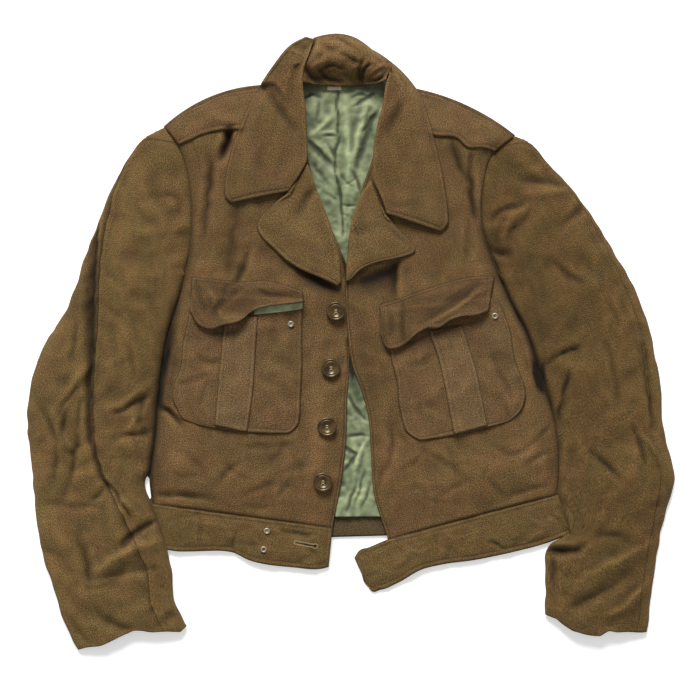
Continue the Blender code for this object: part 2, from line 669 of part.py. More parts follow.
def make_back():
    """The back: flat on the surface, between the side seams and armholes of the fronts."""
    columns = 9
    fractions = np.linspace(0, 1, columns)
    right, left = front_right[:, 0], front_left[:, 0]
    line = np.array(SHOULDER_LINE, float)
    top_x = right[-1][0] + (left[-1][0] - right[-1][0]) * fractions
    bulge = np.interp(top_x, line[:, 0], line[:, 1])
    bulge -= np.linspace(right[-1][1], left[-1][1], columns)
    first_arm_row = PIT * STEPS
    rows = []
    for k, (start, end) in enumerate(zip(right, left)):
        rise = max(0, (k - first_arm_row) / (len(right) - 1 - first_arm_row)) ** 1.5
        sag = HEM_BOW * (1 - k / HEM_ROWS) ** 2 if k < HEM_ROWS else 0
        row = start + np.outer(fractions, end - start)
        row[:, 1] += rise * bulge + sag * 4 * fractions * (1 - fractions)
        rows.append(row)
    grid = np.array(rows[:first_arm_row:STEPS] + rows[first_arm_row:])
    grid[..., 2] = WOOL
    return sheet("back", grid, WOOL, wool("wool, back"))


make_back()
band_back = panel(WAISTBAND_BACK, 12, 1)
sheet("waistband_back", band_back, BACK_BAND, wool("wool, back waistband"))

back_lining = crease(panel(BACK_LINING, 10, 3))
back_lining[..., 2] = np.maximum(back_lining[..., 2], WOOL + REST + SATIN)
sheet("back_lining", back_lining, SATIN, lining_cloth("lining, back"))
lying("neck_label", NECK_LABEL, 1, 1, TAG, material("woven tag", 196, 186, 160, 0.8),
      [back_lining])

band_right = sheet("waistband_right", panel(WAISTBAND_RIGHT, 4, 1), BAND,
                   wool("wool, right waistband"))
sheet("waistband_left", panel(WAISTBAND_LEFT, 4, 1), BAND, wool("wool, left waistband"))


CROWN_WIDTH = 2.6      # how flat a filled sleeve is across its middle
CROWN_SIDES = 0.62     # how round it is at its edges
BORDER = 2             # armhole points from the shoulder to the hind-arm seam
SEAM_SHIFT = 0.4       # how far each sleeve piece keeps from the hind-arm seam
FOLDS_START = 8        # folds come in over this height above a sleeve's edge


def make_sleeve(side, front, table):
    """Top sleeve and under sleeve: a tube whose first ring is the armhole."""
    outward = -1 if side == "right" else 1
    armhole = front[PIT * STEPS:, 0][::-1].copy()
    armhole[:, 0] += outward * ARMHOLE_GAP
    steps_along = np.linalg.norm(np.diff(armhole[:, :2], axis=0), axis=1)
    spread = np.concatenate(((0.0,), np.cumsum(steps_along)))
    spread /= spread[-1]
    split = spread[BORDER]

    def top_point(row, c):
        """A point on top of the sleeve, c from the outer edge to the inner edge."""
        start, end = np.array((row.x0, row.y0)), np.array((row.x1, row.y1))
        run = end - start
        sideways = np.array((-run[1], run[0])) / np.hypot(*run) * outward
        plan = start + c * run + 4 * c * (1 - c) * row.bow * sideways
        crown = (1 - abs(2 * c - 1) ** CROWN_WIDTH) ** CROWN_SIDES
        return (*plan, SLEEVE_EDGE + (row.loft - SLEEVE_EDGE) * crown)

    def armhole_section(points, lift):
        """The first ring of a piece, on the armhole."""
        made = np.array([[np.interp(c, spread, armhole[:, axis]) for axis in range(3)]
                         for c, _ in points])
        made[[flat for _, flat in points], 2] = 0.0
        if lift < 0:
            run = made[-2, :2] - made[-1, :2]
            made[-1, :2] += 0.5 * run / np.linalg.norm(run)
        return made

    def row_section(row, points, lift):
        """One row of a piece: a flat point lies on the surface, the others are on top."""
        made = []
        for c, flat in points:
            if flat:
                x, y, _ = top_point(row, c)
                made.append((x, y, 0.0))
            elif c <= split:
                made.append(top_point(row, c * row.seam / split))
            else:
                made.append(top_point(row, 1 - (1 - c) * (1 - row.seam) / (1 - split)))
        made = np.array(made)
        at_seam = 0 if lift > 0 else -1
        run = np.array((row.x1 - row.x0, row.y1 - row.y0))
        made[at_seam, :2] += np.sign(lift) * SEAM_SHIFT * run / np.hypot(*run)
        made[at_seam, 2] += lift
        return made

    half_gap = FOREARM_GAP / 2
    top_sleeve = ([(c, False) for c in spread[BORDER:]]
                  + [(TOP_FLAT, True), (FOREARM_SEAM + half_gap, True)])
    under_sleeve = ([(FOREARM_SEAM - half_gap, True)] + [(c, True) for c in UNDER_FLAT]
                    + [(c, False) for c in np.interp(np.arange(0, BORDER + 0.1, 0.5),
                                                     range(len(spread)), spread)])
    middles = np.array([armhole[:, :2].mean(axis=0)]
                       + [(0.5 * (row.x0 + row.x1), 0.5 * (row.y0 + row.y1)) for row in table])
    for name, points, lift in (("top_sleeve", top_sleeve, SLEEVE_STEP),
                               ("under_sleeve", under_sleeve, -SLEEVE_STEP)):
        sections = [armhole_section(points, lift)] + [row_section(r, points, lift) for r in table]
        grid = loft(sections, STEPS, middles)
        loft_weight = np.clip((grid[..., 2] - SLEEVE_EDGE) / FOLDS_START, 0, 1)
        loft_weight[0] = 0
        crease(grid, loft_weight)
        beside = np.interp(grid[1:, :, 1], front[:PIT * STEPS + 1, 0, 1],
                           front[:PIT * STEPS + 1, 0, 0])
        near_body = (grid[1:, :, 1] > front[0, 0, 1]) & (grid[1:, :, 1] < front[PIT * STEPS, 0, 1])
        limit = beside + outward * SIDE_GAP
        short = near_body & (outward * (grid[1:, :, 0] - limit) < 0)
        grid[1:, :, 0] = np.where(short, limit, grid[1:, :, 0])
        flat_columns = [k for k, (_, flat) in enumerate(points) if flat]
        grid[:, flat_columns, 2] = 0.0
        inner = inward(grid, WOOL)
        inner[:, flat_columns, 2] = WOOL
        wall(f"{name}_{side}", grid, inner, wool(f"wool, {name} {side}"))


make_sleeve("right", front_right, SLEEVE_RIGHT)
make_sleeve("left", front_left, SLEEVE_LEFT)

strap_right = lying("shoulder_strap_right", SHOULDER_STRAP_RIGHT, 4, 2, WOOL,
                    wool("wool, right strap"), [front_right])
strap_left = lying("shoulder_strap_left", SHOULDER_STRAP_LEFT, 4, 2, WOOL,
                   wool("wool, left strap"), [front_left])

pocket_right = lying("pocket_right", POCKET_RIGHT, 8, 1, WOOL,
                     wool("wool, right pocket"), [front_right])
pocket_left = lying("pocket_left", POCKET_LEFT, 8, 1, WOOL,
                    wool("wool, left pocket"), [front_left])
pleat_right = lying("pocket_pleat_right", POCKET_PLEAT_RIGHT, 3, 2, WOOL,
                    wool("wool, right pleat"), [pocket_right])
pleat_left = lying("pocket_pleat_left", POCKET_PLEAT_LEFT, 3, 2, WOOL,
                   wool("wool, left pleat"), [pocket_left])
flap_lining = lying("flap_lining_right", FLAP_LINING_RIGHT, 2, 2, SATIN,
                    lining_cloth("lining, right flap"), [front_right, pocket_right, pleat_right])
flap_right = lying("pocket_flap_right", POCKET_FLAP_RIGHT, 5, 2, WOOL, wool("wool, right flap"),
                   [front_right, pocket_right, pleat_right, flap_lining])
flap_left = lying("pocket_flap_left", POCKET_FLAP_LEFT, 5, 2, WOOL, wool("wool, left flap"),
                  [front_left, pocket_left, pleat_left])

lapel_right = clear_of(panel(LAPEL_RIGHT, 6, 2), WOOL, [front_right])
sheet("lapel_right", lapel_right, WOOL, wool("wool, right lapel"))
lapel_left = clear_of(panel(LAPEL_LEFT, 6, 2), WOOL, [front_left])
sheet("lapel_left", lapel_left, WOOL, wool("wool, left lapel"))

collar_stand = panel(COLLAR_STAND, 8, 2)
sheet("collar_stand", collar_stand, WOOL, wool("wool, collar stand"))
sheet("collar_fall", panel(COLLAR_FALL, 8, 1), WOOL, wool("wool, collar fall"))
leaf_right = clear_of(crease(panel(COLLAR_LEAF_RIGHT, 6, 2)), WOOL,
                      [front_right, strap_right, collar_stand])
sheet("collar_leaf_right", leaf_right, WOOL, wool("wool, right collar leaf"))
leaf_left = clear_of(crease(panel(COLLAR_LEAF_LEFT, 6, 2)), WOOL, [front_left, strap_left])
sheet("collar_leaf_left", leaf_left, WOOL, wool("wool, left collar leaf"))

half_button = BUTTON_D / 2
BUTTON_PROFILE = ((0, 0), (half_button - 2.5, 0), (half_button, 2.2), (half_button - 0.6, 3.8),
                  (half_button - 2, BUTTON_H), (half_button - 4.2, 2.9), (0, 2.5))
half_stud = STUD_D / 2
STUD_PROFILE = ((0, 0), (half_stud, 0), (half_stud, 0.8), (half_stud - 1.2, STUD_H),
                (half_stud - 2.2, STUD_H), (half_stud - 2.6, 1.2), (0, 1.2))
button_brown = material("brown plastic", 74, 50, 34, 0.25)
stud_metal = material("dulled brass", 120, 104, 78, 0.45, 0.9)
for item in BUTTONS:
    place_round(item, BUTTON_PROFILE, 16, button_brown, [front_right])
for item in BAND_STUDS:
    place_round(item, STUD_PROFILE, 8, stud_metal, [band_right])
place_round(POCKET_STUDS[0], STUD_PROFILE, 8, stud_metal, [pocket_right])
place_round(POCKET_STUDS[1], STUD_PROFILE, 8, stud_metal, [pocket_left, flap_left])


def centre_on_origin():
    """Put the middle of the jacket's outline on the world's origin."""
    bpy.context.view_layer.update()
    made = [o for o in bpy.data.objects if o.type == "MESH"]
    corners = np.array([o.matrix_world @ Vector(c) for o in made for c in o.bound_box])
    middle = 0.5 * (corners.min(axis=0) + corners.max(axis=0))
    for o in made:
        o.location.x -= middle[0]
        o.location.y -= middle[1]
        o.location.z -= corners[:, 2].min()


centre_on_origin()
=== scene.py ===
import math
from collections import namedtuple

import bmesh
import bpy
import numpy as np
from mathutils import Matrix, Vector, noise
from mathutils.bvhtree import BVHTree


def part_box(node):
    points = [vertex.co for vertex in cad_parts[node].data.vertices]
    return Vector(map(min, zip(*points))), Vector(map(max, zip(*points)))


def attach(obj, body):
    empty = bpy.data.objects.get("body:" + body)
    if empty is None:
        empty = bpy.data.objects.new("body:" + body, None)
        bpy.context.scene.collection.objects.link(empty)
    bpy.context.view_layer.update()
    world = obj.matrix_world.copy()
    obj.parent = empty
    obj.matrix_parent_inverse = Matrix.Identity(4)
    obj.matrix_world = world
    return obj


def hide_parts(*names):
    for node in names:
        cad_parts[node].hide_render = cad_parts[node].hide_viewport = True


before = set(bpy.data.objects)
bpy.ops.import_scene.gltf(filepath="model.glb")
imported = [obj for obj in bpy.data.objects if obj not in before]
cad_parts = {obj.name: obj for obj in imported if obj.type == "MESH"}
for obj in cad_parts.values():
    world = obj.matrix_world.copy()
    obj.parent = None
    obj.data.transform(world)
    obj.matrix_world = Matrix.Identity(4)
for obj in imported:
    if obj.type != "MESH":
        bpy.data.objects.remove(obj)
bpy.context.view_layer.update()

# ============================================================ the two fronts
# The fronts are cut from a heavy wool serge, brown with olive fibres in it. Each is one piece from
# the hem to the shoulder, folded back along its front edge and stitched twice beside the fold.
# All tables are in millimetres: +X to the wearer's left, +Y to the collar, +Z off the surface.

MM = 0.001
WOOL = 1.6             # thickness of the wool
REST = 0.35            # gap between a piece and the cloth that it lies on
RISE, FALL = 0.3, 0.45  # shares of a row's width over which its height rises and falls
FRONT_RISE = 0.17      # the fronts rise more steeply, beside the sleeves
ROW_STEPS = 12         # rows of points from one row of a table to the next

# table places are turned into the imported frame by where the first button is
FIRST_BUTTON = np.array((-20.0, 40.0))
low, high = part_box("button_1")
SHIFT = 500 * (np.array(low[:2]) + np.array(high[:2])) - FIRST_BUTTON

# heights of a row are given at its first edge, its middle and its last edge
Row = namedtuple("Row", "x0 y0 x1 y1 bow z0 zm z1")
# a fold runs through three points; depth < 0 is a trough and > 0 a ridge, and the cloth is level
# again this far to the left and to the right of it
Fold = namedtuple("Fold", "xa ya xb yb xc yc depth left right")

PIT = 8                # the row where the armhole starts
FRONT_RIGHT = (
    Row(-250, -199.5, -24, -230, 0, 3.6, 10, 6),
    Row(-253, -165, -13, -170, 0, 3.6, 16, 9),
    Row(-247, -115, -7, -116, 0, 3.6, 17, 9),
    Row(-243, -65, -6, -71, 0, 3.6, 16, 9),
    Row(-239, -25, -3, -28, 0, 3.6, 15, 7.5),
    Row(-232, 12, -1, 12, 0, 3.6, 16, 7.5),
    Row(-222, 44, -2, 44, 0, 3.8, 16, 7.5),
    Row(-214, 68, -3, 70, 0, 4.5, 17, 7.5),
    Row(-209, 89, -5, 92, 0, 6, 17, 8.5),
    Row(-203, 112, -13, 114, 0, 10, 17, 12),
    Row(-200, 152, -29, 152, 0, 14, 17, 13),
    Row(-203, 200, -47, 198, 0, 15, 17, 16),
    Row(-211, 233, -57, 240, 0, 13, 17, 20),
    Row(-220, 251, -70, 282, 0, 10, 17, 18),
    Row(-235, 271, -94, 323, 15, 4, 5, 6),
)
FRONT_LEFT = (
    Row(257, -187.7, 45, -244, 0, 3.6, 10, 6),
    Row(260, -165, 28, -190, 0, 3.6, 16, 9),
    Row(259, -125, 24, -140, 0, 3.6, 17, 9),
    Row(253, -92, 21, -96, 0, 3.6, 16, 9),
    Row(241, -49, 11, -56, 0, 3.6, 16, 10),
    Row(233, -24, 1, -29, 0, 3.6, 16, 11),
    Row(219, 15, -5, 12, 0, 3.8, 17, 11),
    Row(201, 50, -8, 50, 0, 4.5, 17, 11),
    Row(184, 88, -8, 84, 0, 6, 17, 11),
    Row(174, 112, -6, 108, 0, 10, 17, 12),
    Row(163, 145, -2, 142, 0, 14, 17, 13),
    Row(163, 190, 12, 190, 0, 15, 17, 16),
    Row(170, 225, 25, 228, 0, 13, 17, 20),
    Row(184, 245, 42, 280, 0, 10, 17, 18),
    Row(204, 260, 65, 321, -10, 4, 5, 6),
)
FRONT_FOLDS_RIGHT = (
    # under the left front's edge, where the opening is dark
    Fold(-4, 4, -1, -21, -1, -52, -4, 6, 6),
    # below the strap, the collar and the lapel
    Fold(-149, 271, -154, 252, -162, 231, -9, 8, 10),
    Fold(-175, 229, -178, 191, -185, 134, -3.5, 9, 10),
    Fold(-141, 172, -149, 129, -156, 85, -3.5, 18, 20),
    Fold(-129, 116, -138, 89, -152, 59, -3.5, 8, 9),
    Fold(-76, 106, -44, 84, -14, 66, -5, 24, 24),
    # beside the sleeve
    Fold(-224, 54, -229, 16, -234, -2, -4, 14, 12),
    Fold(-239, 6, -234, -9, -244, -44, -7, 9, 8),
    Fold(-242, -41, -241, -65, -238, -82, -7, 7, 7),
    Fold(-239, -79, -226, -88, -212, -104, -5, 6, 5),
    Fold(-222, -9, -228, -40, -232, -71, 3, 4, 5),
    # wrinkles over the waist
    Fold(-131, -129, -104, -129, -74, -125, -1.1, 6, 8),
    Fold(-104, -149, -91, -136, -78, -124, -1, 6, 7),
    Fold(-169, -179, -155, -160, -140, -149, -1.5, 7, 9),
    Fold(-96, -196, -85, -182, -78, -170, -1.1, 6, 6),
    Fold(-139, -194, -116, -181, -89, -174, -1, 7, 8),
    Fold(-248, -192, -214, -190, -176, -196, -2.4, 9, 5),
    Fold(-161, -141, -149, -159, -126, -169, -0.9, 5, 6),
    Fold(-214, -134, -194, -149, -181, -171, -0.9, 6, 6),
    Fold(-74, -136, -64, -159, -59, -186, -0.7, 6, 6),
    Fold(-226, -159, -209, -166, -189, -164, -0.8, 5, 5),
    Fold(-130, -202, -111, -205, -89, -200, -0.8, 4, 5),
)
FRONT_FOLDS_LEFT = (
    # along the sleeve head
    Fold(124, 254, 134, 222, 146, 199, -3, 9, 8),
    Fold(149, 232, 150, 179, 162, 144, -4.5, 6, 8),
    Fold(162, 144, 171, 122, 182, 104, -5, 6, 7),
    Fold(158, 222, 160, 179, 171, 144, 2, 7, 5),
    Fold(146, 164, 144, 129, 141, 99, -1.5, 12, 6),
    Fold(186, 85, 201, 54, 216, 16, -5, 9, 9),
    Fold(209, 16, 219, -9, 225, -39, 2, 6, 6),
    # below the lapel
    Fold(58, 104, 54, 81, 55, 56, -4, 7, 22),
    Fold(1, 74, 30, 84, 56, 91, -4.5, 18, 26),
    # wrinkles over the waist
    Fold(48, -102, 51, -129, 41, -156, -1.8, 7, 7),
    Fold(41, -156, 35, -171, 34, -186, -1.4, 6, 6),
    Fold(84, -129, 111, -146, 146, -172, -1.1, 7, 7),
    Fold(109, -191, 126, -180, 146, -171, -1.2, 7, 7),
    Fold(179, -126, 201, -138, 224, -126, -1.5, 7, 7),
    Fold(224, -126, 238, -114, 249, -99, -1.3, 7, 6),
    Fold(211, -158, 234, -141, 254, -135, -1.4, 7, 7),
    Fold(171, -168, 179, -180, 190, -191, -1.2, 5, 5),
    Fold(192, -196, 218, -184, 251, -176, -1.4, 12, 6),
    Fold(55, -99, 61, -116, 74, -129, -1, 6, 6),
    Fold(61, -159, 76, -149, 91, -134, -0.8, 5, 6),
    Fold(119, -131, 126, -149, 130, -166, -0.9, 6, 5),
    Fold(159, -136, 166, -154, 161, -171, -0.8, 5, 5),
    Fold(86, -186, 101, -196, 119, -199, -0.7, 5, 5),
)

# shades are painted shade where their depth is below 0 and painted light where it is above; they
# follow the same kind of curve, and their depth is a share of the cloth's brightness
SHADES_RIGHT = (
    # painted shade under the collar, the strap's end and the lapel, and in the slit between the
    # lapels
    Fold(-156, 266, -154, 252, -160, 236, -0.95, 10, 10),
    Fold(-72, 94, -44, 78, -16, 60, -0.85, 24, 26),
    Fold(-120, 128, -96, 108, -66, 90, -0.35, 12, 12),
    Fold(-176, 230, -178, 190, -186, 120, -0.3, 12, 12),
    Fold(-134, 170, -146, 120, -156, 80, -0.25, 22, 22),
    Fold(-12, 118, -9, 98, -6, 72, -0.85, 5, 6),
    # painted shade beside the sleeve, and painted light and shade over the waist
    Fold(-224, 60, -228, 6, -232, -36, -0.7, 20, 14),
    Fold(-232, -6, -238, -50, -240, -90, -0.9, 20, 14),
    Fold(-232, -120, -236, -150, -244, -190, -0.3, 14, 20),
    Fold(-118, -150, -100, -144, -76, -128, -0.15, 16, 16),
    Fold(-40, 20, -42, -80, -46, -190, 0.3, 26, 22),
)
SHADES_LEFT = (
    # painted shade in the slit between the lapels and under the lapel
    Fold(-12, 118, -9, 98, -6, 72, -0.85, 5, 6),
    Fold(58, 106, 56, 84, 54, 60, -0.6, 5, 36),
    Fold(-2, 70, 24, 80, 52, 90, -0.9, 22, 30),
    # painted shade in the open slot in front of the elbow, and painted light and shade elsewhere
    # after it
    Fold(229, -24, 231, -42, 238, -60, -2.2, 7, 7),
    Fold(118, 256, 136, 216, 160, 140, -0.34, 14, 16),
    Fold(162, 142, 190, 84, 222, 10, -0.5, 14, 22),
    Fold(222, 10, 232, -30, 246, -72, -0.5, 12, 20),
    Fold(236, -96, 244, -130, 250, -170, -0.2, 22, 22),
    Fold(66, 220, 92, 170, 112, 120, -0.2, 40, 36),
    Fold(14, 60, 12, -10, 30, -90, -0.15, 34, 30),
    Fold(100, -130, 140, -150, 190, -160, 0.08, 40, 40),
)
# how dark the shade is in the slot between the body and a sleeve, by its place along the side
SLOT_SHADE = {"right": ((-250, 0.3), (-204, 0.5), (-184, 0.9), (-62, 0.9), (-40, 0.55), (20, 0.35),
                        (120, 0.3), (200, 0.35), (270, 0.1)),
              "left": ((-250, 0.5), (-200, 0.25), (-100, 0.3), (-76, 0.9), (96, 0.9), (120, 0.6),
                       (180, 0.35), (270, 0.1))}
SLOT_WIDE = {"right": 5.0, "left": 3.6}
DARKEST = 0.04         # no shade makes the cloth darker than this share of its brightness
HEM_TUCK, HEM_HEIGHT = 3.0, 5.4  # the hem goes this far in under the band, and no higher than this

FOLD_RUNS = 10         # straight runs that stand for a fold's curve
FOLD_PRESS = 1.6       # all folds are this much deeper than their tables say
CREASED = 1.4          # 1 folds cloth like paper, 2 and more leaves a thin sharp crease
FOLD_STRAY, STRAY_SIZE = 2.0, 14  # a fold strays this far from its curve, in waves of this size
# rows of points run close beside an edge that is turned in and stitched
EDGE_STEPS = (0.0, 0.7, 1.8, 3.2, 4.6, 5.6, 6.4, 7.4, 9.0)
STITCH_ROW = 5         # the one of them that the stitches follow
HOLLOW_ROUNDS = 14     # rounds of smoothing to find where a piece is hollow
NO_EDGE = 99.0         # stands for the distance from an edge that isn't turned in
# what is added beside an edge: how much, how far from the edge, and over what width
EDGE_PRESS = ((0.35, 3.0, 1.7), (-0.55, EDGE_STEPS[STITCH_ROW], 1.1), (-0.9, 0, 1.0))
FRONT_RIM = ((-1.0, 0, 0.9), (-1.1, 3.4, 0.9))
SEAM_DIP = ((-0.6, 0, 1.6),)
# RIM_TONE paints a paler rim beside the edge, and painted shade along its stitches
RIM_TONE = ((0.3, 1.4, 1.2), (-0.45, 3.5, 0.9))
# waves in the cloth: how high, how large, and what is added to the piece's seed
FRONT_WAVES = ((1.8, 46, 0), (0.6, 18, 5))
FRONT_PITCH = 2.6      # distance between a front's points
SEAM_CALM = 12         # its folds and waves die out over this width beside the side seam
LINING_ROOM, ROOM_OVER = 2.2, 60  # it leaves this room for the lining, rising over this width

NOISE_SEED = 5         # with this the waves come out the same each time
noise.seed_set(NOISE_SEED)


def across(row, columns, rise=RISE):
    """One row's points, from its first edge to its last."""
    t = np.linspace(0, 1, columns)
    start = np.array((row.x0, row.y0), float)
    run = np.array((row.x1, row.y1), float) - start
    sideways = np.array((-run[1], run[0])) / np.hypot(*run)
    plan = start + np.outer(t, run) + np.outer(4 * t * (1 - t) * row.bow, sideways)
    rise = np.sin(0.5 * math.pi * np.clip(t / rise, 0, 1))
    fall = np.sin(0.5 * math.pi * np.clip((1 - t) / FALL, 0, 1))
    height = row.z0 + (row.zm - row.z0) * rise + (row.z1 - row.zm) * (1 - fall)
    return np.column_stack((plan, height))


def smooth_through(sections, middles=None):
    """A close grid of points on the smooth surface through a piece's sections."""
    stack = np.array(sections, float)
    if middles is None:
        middles = stack.mean(axis=1)
    gaps = np.maximum(np.linalg.norm(np.diff(middles, axis=0), axis=1), 1.0)
    place = np.concatenate(((0.0,), np.cumsum(gaps)))
    slopes = np.gradient(stack, place, axis=0)
    rows = [stack[0]]
    for k, gap in enumerate(gaps):
        for t in np.arange(1, ROW_STEPS + 1) / ROW_STEPS:
            rows.append((2 * t ** 3 - 3 * t ** 2 + 1) * stack[k]
                        + (t ** 3 - 2 * t ** 2 + t) * gap * slopes[k]
                        + (3 * t ** 2 - 2 * t ** 3) * stack[k + 1]
                        + (t ** 3 - t ** 2) * gap * slopes[k + 1])
    return np.array(rows)


def respaced(grid, axis, pitch, first, last):
    """The same surface with its points a pitch apart, and closer beside the stitched edges."""
    lines = np.moveaxis(grid, axis, 0)
    steps = np.linalg.norm(np.diff(lines, axis=0), axis=2)
    run = np.vstack((np.zeros(lines.shape[1]), np.cumsum(steps, axis=0)))
    near = np.array(EDGE_STEPS)
    start = near if first else near[:1]
    end = near if last else near[:1]
    count = max(2, round((run[-1].mean() - start[-1] - end[-1]) / pitch))
    made = []
    for j in range(lines.shape[1]):
        length = run[-1, j]
        squeeze = min(1.0, 0.7 * length / max(start[-1] + end[-1], 1.0))
        middle = np.linspace(squeeze * start[-1], length - squeeze * end[-1], count + 1)
        at = np.concatenate((squeeze * start[:-1], middle, length - squeeze * end[:-1][::-1]))
        made.append(np.column_stack([np.interp(at, run[:, j], lines[:, j, k])
                                     for k in range(3)]))
    return np.moveaxis(np.array(made), 0, 1) if axis == 0 else np.array(made)


def cloth_grid(table, columns, pitch, edges="", rise=RISE):
    """A piece's points, a pitch apart and closer beside the named edges, from its table's rows
    of this many points each."""
    grid = smooth_through([across(row, columns, rise) for row in table])
    grid = respaced(grid, 1, pitch, "first" in edges, "last" in edges)
    return respaced(grid, 0, pitch, "bottom" in edges, "top" in edges)


def run_along(grid, axis):
    """How far each point is along its line of the grid, and the length of the whole line."""
    lines = np.moveaxis(grid, axis, 0)
    steps = np.linalg.norm(np.diff(lines, axis=0), axis=2)
    run = np.vstack((np.zeros(lines.shape[1]), np.cumsum(steps, axis=0)))
    return np.moveaxis(run, 0, axis), np.moveaxis(np.broadcast_to(run[-1], run.shape), 0, axis)


def from_edges(grid, edges):
    """The distance of each point from the nearest of the named edges of its piece."""
    over, width = run_along(grid, 1)
    up, length = run_along(grid, 0)
    gaps = {"first": over, "last": width - over, "bottom": up, "top": length - up}
    return np.minimum.reduce([gaps[edge] for edge in edges.split()]) if edges else over + 1e3


def fold_height(x, y, fold):
    """Height that one fold adds at points x, y."""
    a, b, c = (np.array(p, float) for p in
               ((fold.xa, fold.ya), (fold.xb, fold.yb), (fold.xc, fold.yc)))
    bend = 2 * b - 0.5 * (a + c)
    curve = [(1 - t) ** 2 * a + 2 * t * (1 - t) * bend + t ** 2 * c
             for t in np.linspace(0, 1, FOLD_RUNS + 1)]
    best, side, along = np.full(x.shape, 1e9), np.zeros(x.shape), np.zeros(x.shape)
    for k, (p, q) in enumerate(zip(curve, curve[1:])):
        run = q - p
        length = max(np.hypot(*run), 1e-6)
        t = np.clip(((x - p[0]) * run[0] + (y - p[1]) * run[1]) / length ** 2, 0, 1)
        far_x, far_y = x - p[0] - t * run[0], y - p[1] - t * run[1]
        far = np.hypot(far_x, far_y)
        closer = far < best
        best = np.where(closer, far, best)
        side = np.where(closer, np.sign(run[0] * far_y - run[1] * far_x) * far, side)
        along = np.where(closer, (k + t) / FOLD_RUNS, along)
    taper = np.sin(math.pi * np.clip(0.06 + 0.88 * along, 0, 1)) ** 0.7
    far = best / np.where(side > 0, fold.left, fold.right)
    return fold.depth * np.clip(1 - far, 0, 1) ** CREASED * taper


def along_folds(grid, folds):
    """The sum of all folds of a table at each point of a piece."""
    x, y = grid[..., 0].copy(), grid[..., 1].copy()
    for place in np.ndindex(*x.shape):
        moved = noise.noise_vector(Vector((x[place] / STRAY_SIZE, y[place] / STRAY_SIZE, 3.3)))
        x[place] += FOLD_STRAY * moved.x
        y[place] += FOLD_STRAY * moved.y
    total = np.zeros(x.shape)
    for fold in folds:
        reach = fold.left + fold.right
        xs, ys = (fold.xa, fold.xb, fold.xc), (fold.ya, fold.yb, fold.yc)
        near = ((x > min(xs) - reach) & (x < max(xs) + reach)
                & (y > min(ys) - reach) & (y < max(ys) + reach))
        if near.any():
            total[near] += fold_height(x[near], y[near], fold)
    return total


def folded(grid, folds, weight=1.0):
    """Press the folds of a table into a piece."""
    grid[..., 2] += FOLD_PRESS * weight * along_folds(grid, folds)


def rumpled(grid, waves, seed, weight=1.0):
    """Add the uneven waves and the soft creases of cloth that has been worn and laid down."""
    for height, size, further in waves:
        added = np.zeros(grid.shape[:2])
        for place in np.ndindex(*added.shape):
            x, y, _ = grid[place]
            p = Vector((x / size, y / size, seed + further))
            bent = p + 0.7 * noise.noise_vector(0.6 * p)
            ridge = abs(noise.noise(1.3 * bent + Vector((31, 7, 5))))
            trough = abs(noise.noise(1.1 * bent + Vector((5, 17, 11))))
            added[place] = noise.noise(bent) + 0.9 * (trough - ridge)
        grid[..., 2] += weight * height * added


def beside_edge(far, humps, level=0):
    """A level with a table's smooth humps on it, at points this far from an edge."""
    return sum((high * np.exp(-((far - at) / wide) ** 2) for high, at, wide in humps), level)


def pressed_edge(grid, edges):
    """Round a turned-in edge off, and draw the cloth in along the stitches beside it."""
    grid[..., 2] += beside_edge(from_edges(grid, edges), EDGE_PRESS)


def hollow(grid):
    """How far each point stands above the mean of the cloth round it; below it in a crease."""
    mean = grid[..., 2].copy()
    for _ in range(HOLLOW_ROUNDS):
        mean = np.pad(mean, 1, mode="edge")
        mean = 0.25 * (mean[:-2] + 2 * mean[1:-1] + mean[2:])
        mean = 0.25 * (mean[:, :-2] + 2 * mean[:, 1:-1] + mean[:, 2:])
    return grid[..., 2] - mean


def piece_of(name, grid, thickness, far=None, painted_light=None):
    """A cloth piece of that thickness below a grid of points, with its own map of the weave."""
    over, up = run_along(grid, 1)[0], run_along(grid, 0)[0]
    weave = np.stack((over + 7.0 * len(name), up + 3.0 * ord(name[0])), axis=-1) * MM
    far = np.full(grid.shape[:2], NO_EDGE) if far is None else far
    painted_light = np.ones(grid.shape[:2]) if painted_light is None else painted_light
    deep = hollow(grid)
    normals = np.cross(np.gradient(grid, axis=1), np.gradient(grid, axis=0))
    if np.sum(normals[..., 2] * (1 + grid[..., 2] - grid[..., 2].min())) < 0:
        grid, weave = grid[:, ::-1], weave[:, ::-1]
        far, deep, painted_light = far[:, ::-1], deep[:, ::-1], painted_light[:, ::-1]
    rows, columns = grid.shape[:2]
    bm = bmesh.new()
    bmesh.ops.create_grid(bm, x_segments=columns - 1, y_segments=rows - 1, size=1)
    mesh = bpy.data.meshes.new(name)
    bm.to_mesh(mesh)
    bm.free()
    places = grid.reshape(-1, 3).copy()
    places[:, :2] += SHIFT
    mesh.vertices.foreach_set("co", (places * MM).ravel())
    mesh.shade_smooth()
    corner = np.zeros(len(mesh.loops), np.int32)
    mesh.loops.foreach_get("vertex_index", corner)
    mesh.uv_layers.new(name="weave")
    mesh.uv_layers["weave"].data.foreach_set("uv", weave.reshape(-1, 2)[corner].ravel())
    # each point keeps its distance from an edge, its hollowness, and its painted light and shade
    for label, values in (("from_edge", far), ("hollow", deep), ("painted_light", painted_light)):
        mesh.attributes.new(label, "FLOAT", "POINT")
        mesh.attributes[label].data.foreach_set("value", values.ravel())
    made = bpy.data.objects.new(name, mesh)
    bpy.context.scene.collection.objects.link(made)
    wall = made.modifiers.new("cloth", "SOLIDIFY")
    wall.thickness = thickness * MM
    wall.offset = -1
    return made


def sewn_on(piece, node, material):
    """Finish a piece of cloth: its material, its body, and the node it stands for, which it hides.
    """
    piece.data.materials.append(material)
    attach(piece, "root")
    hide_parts(node)


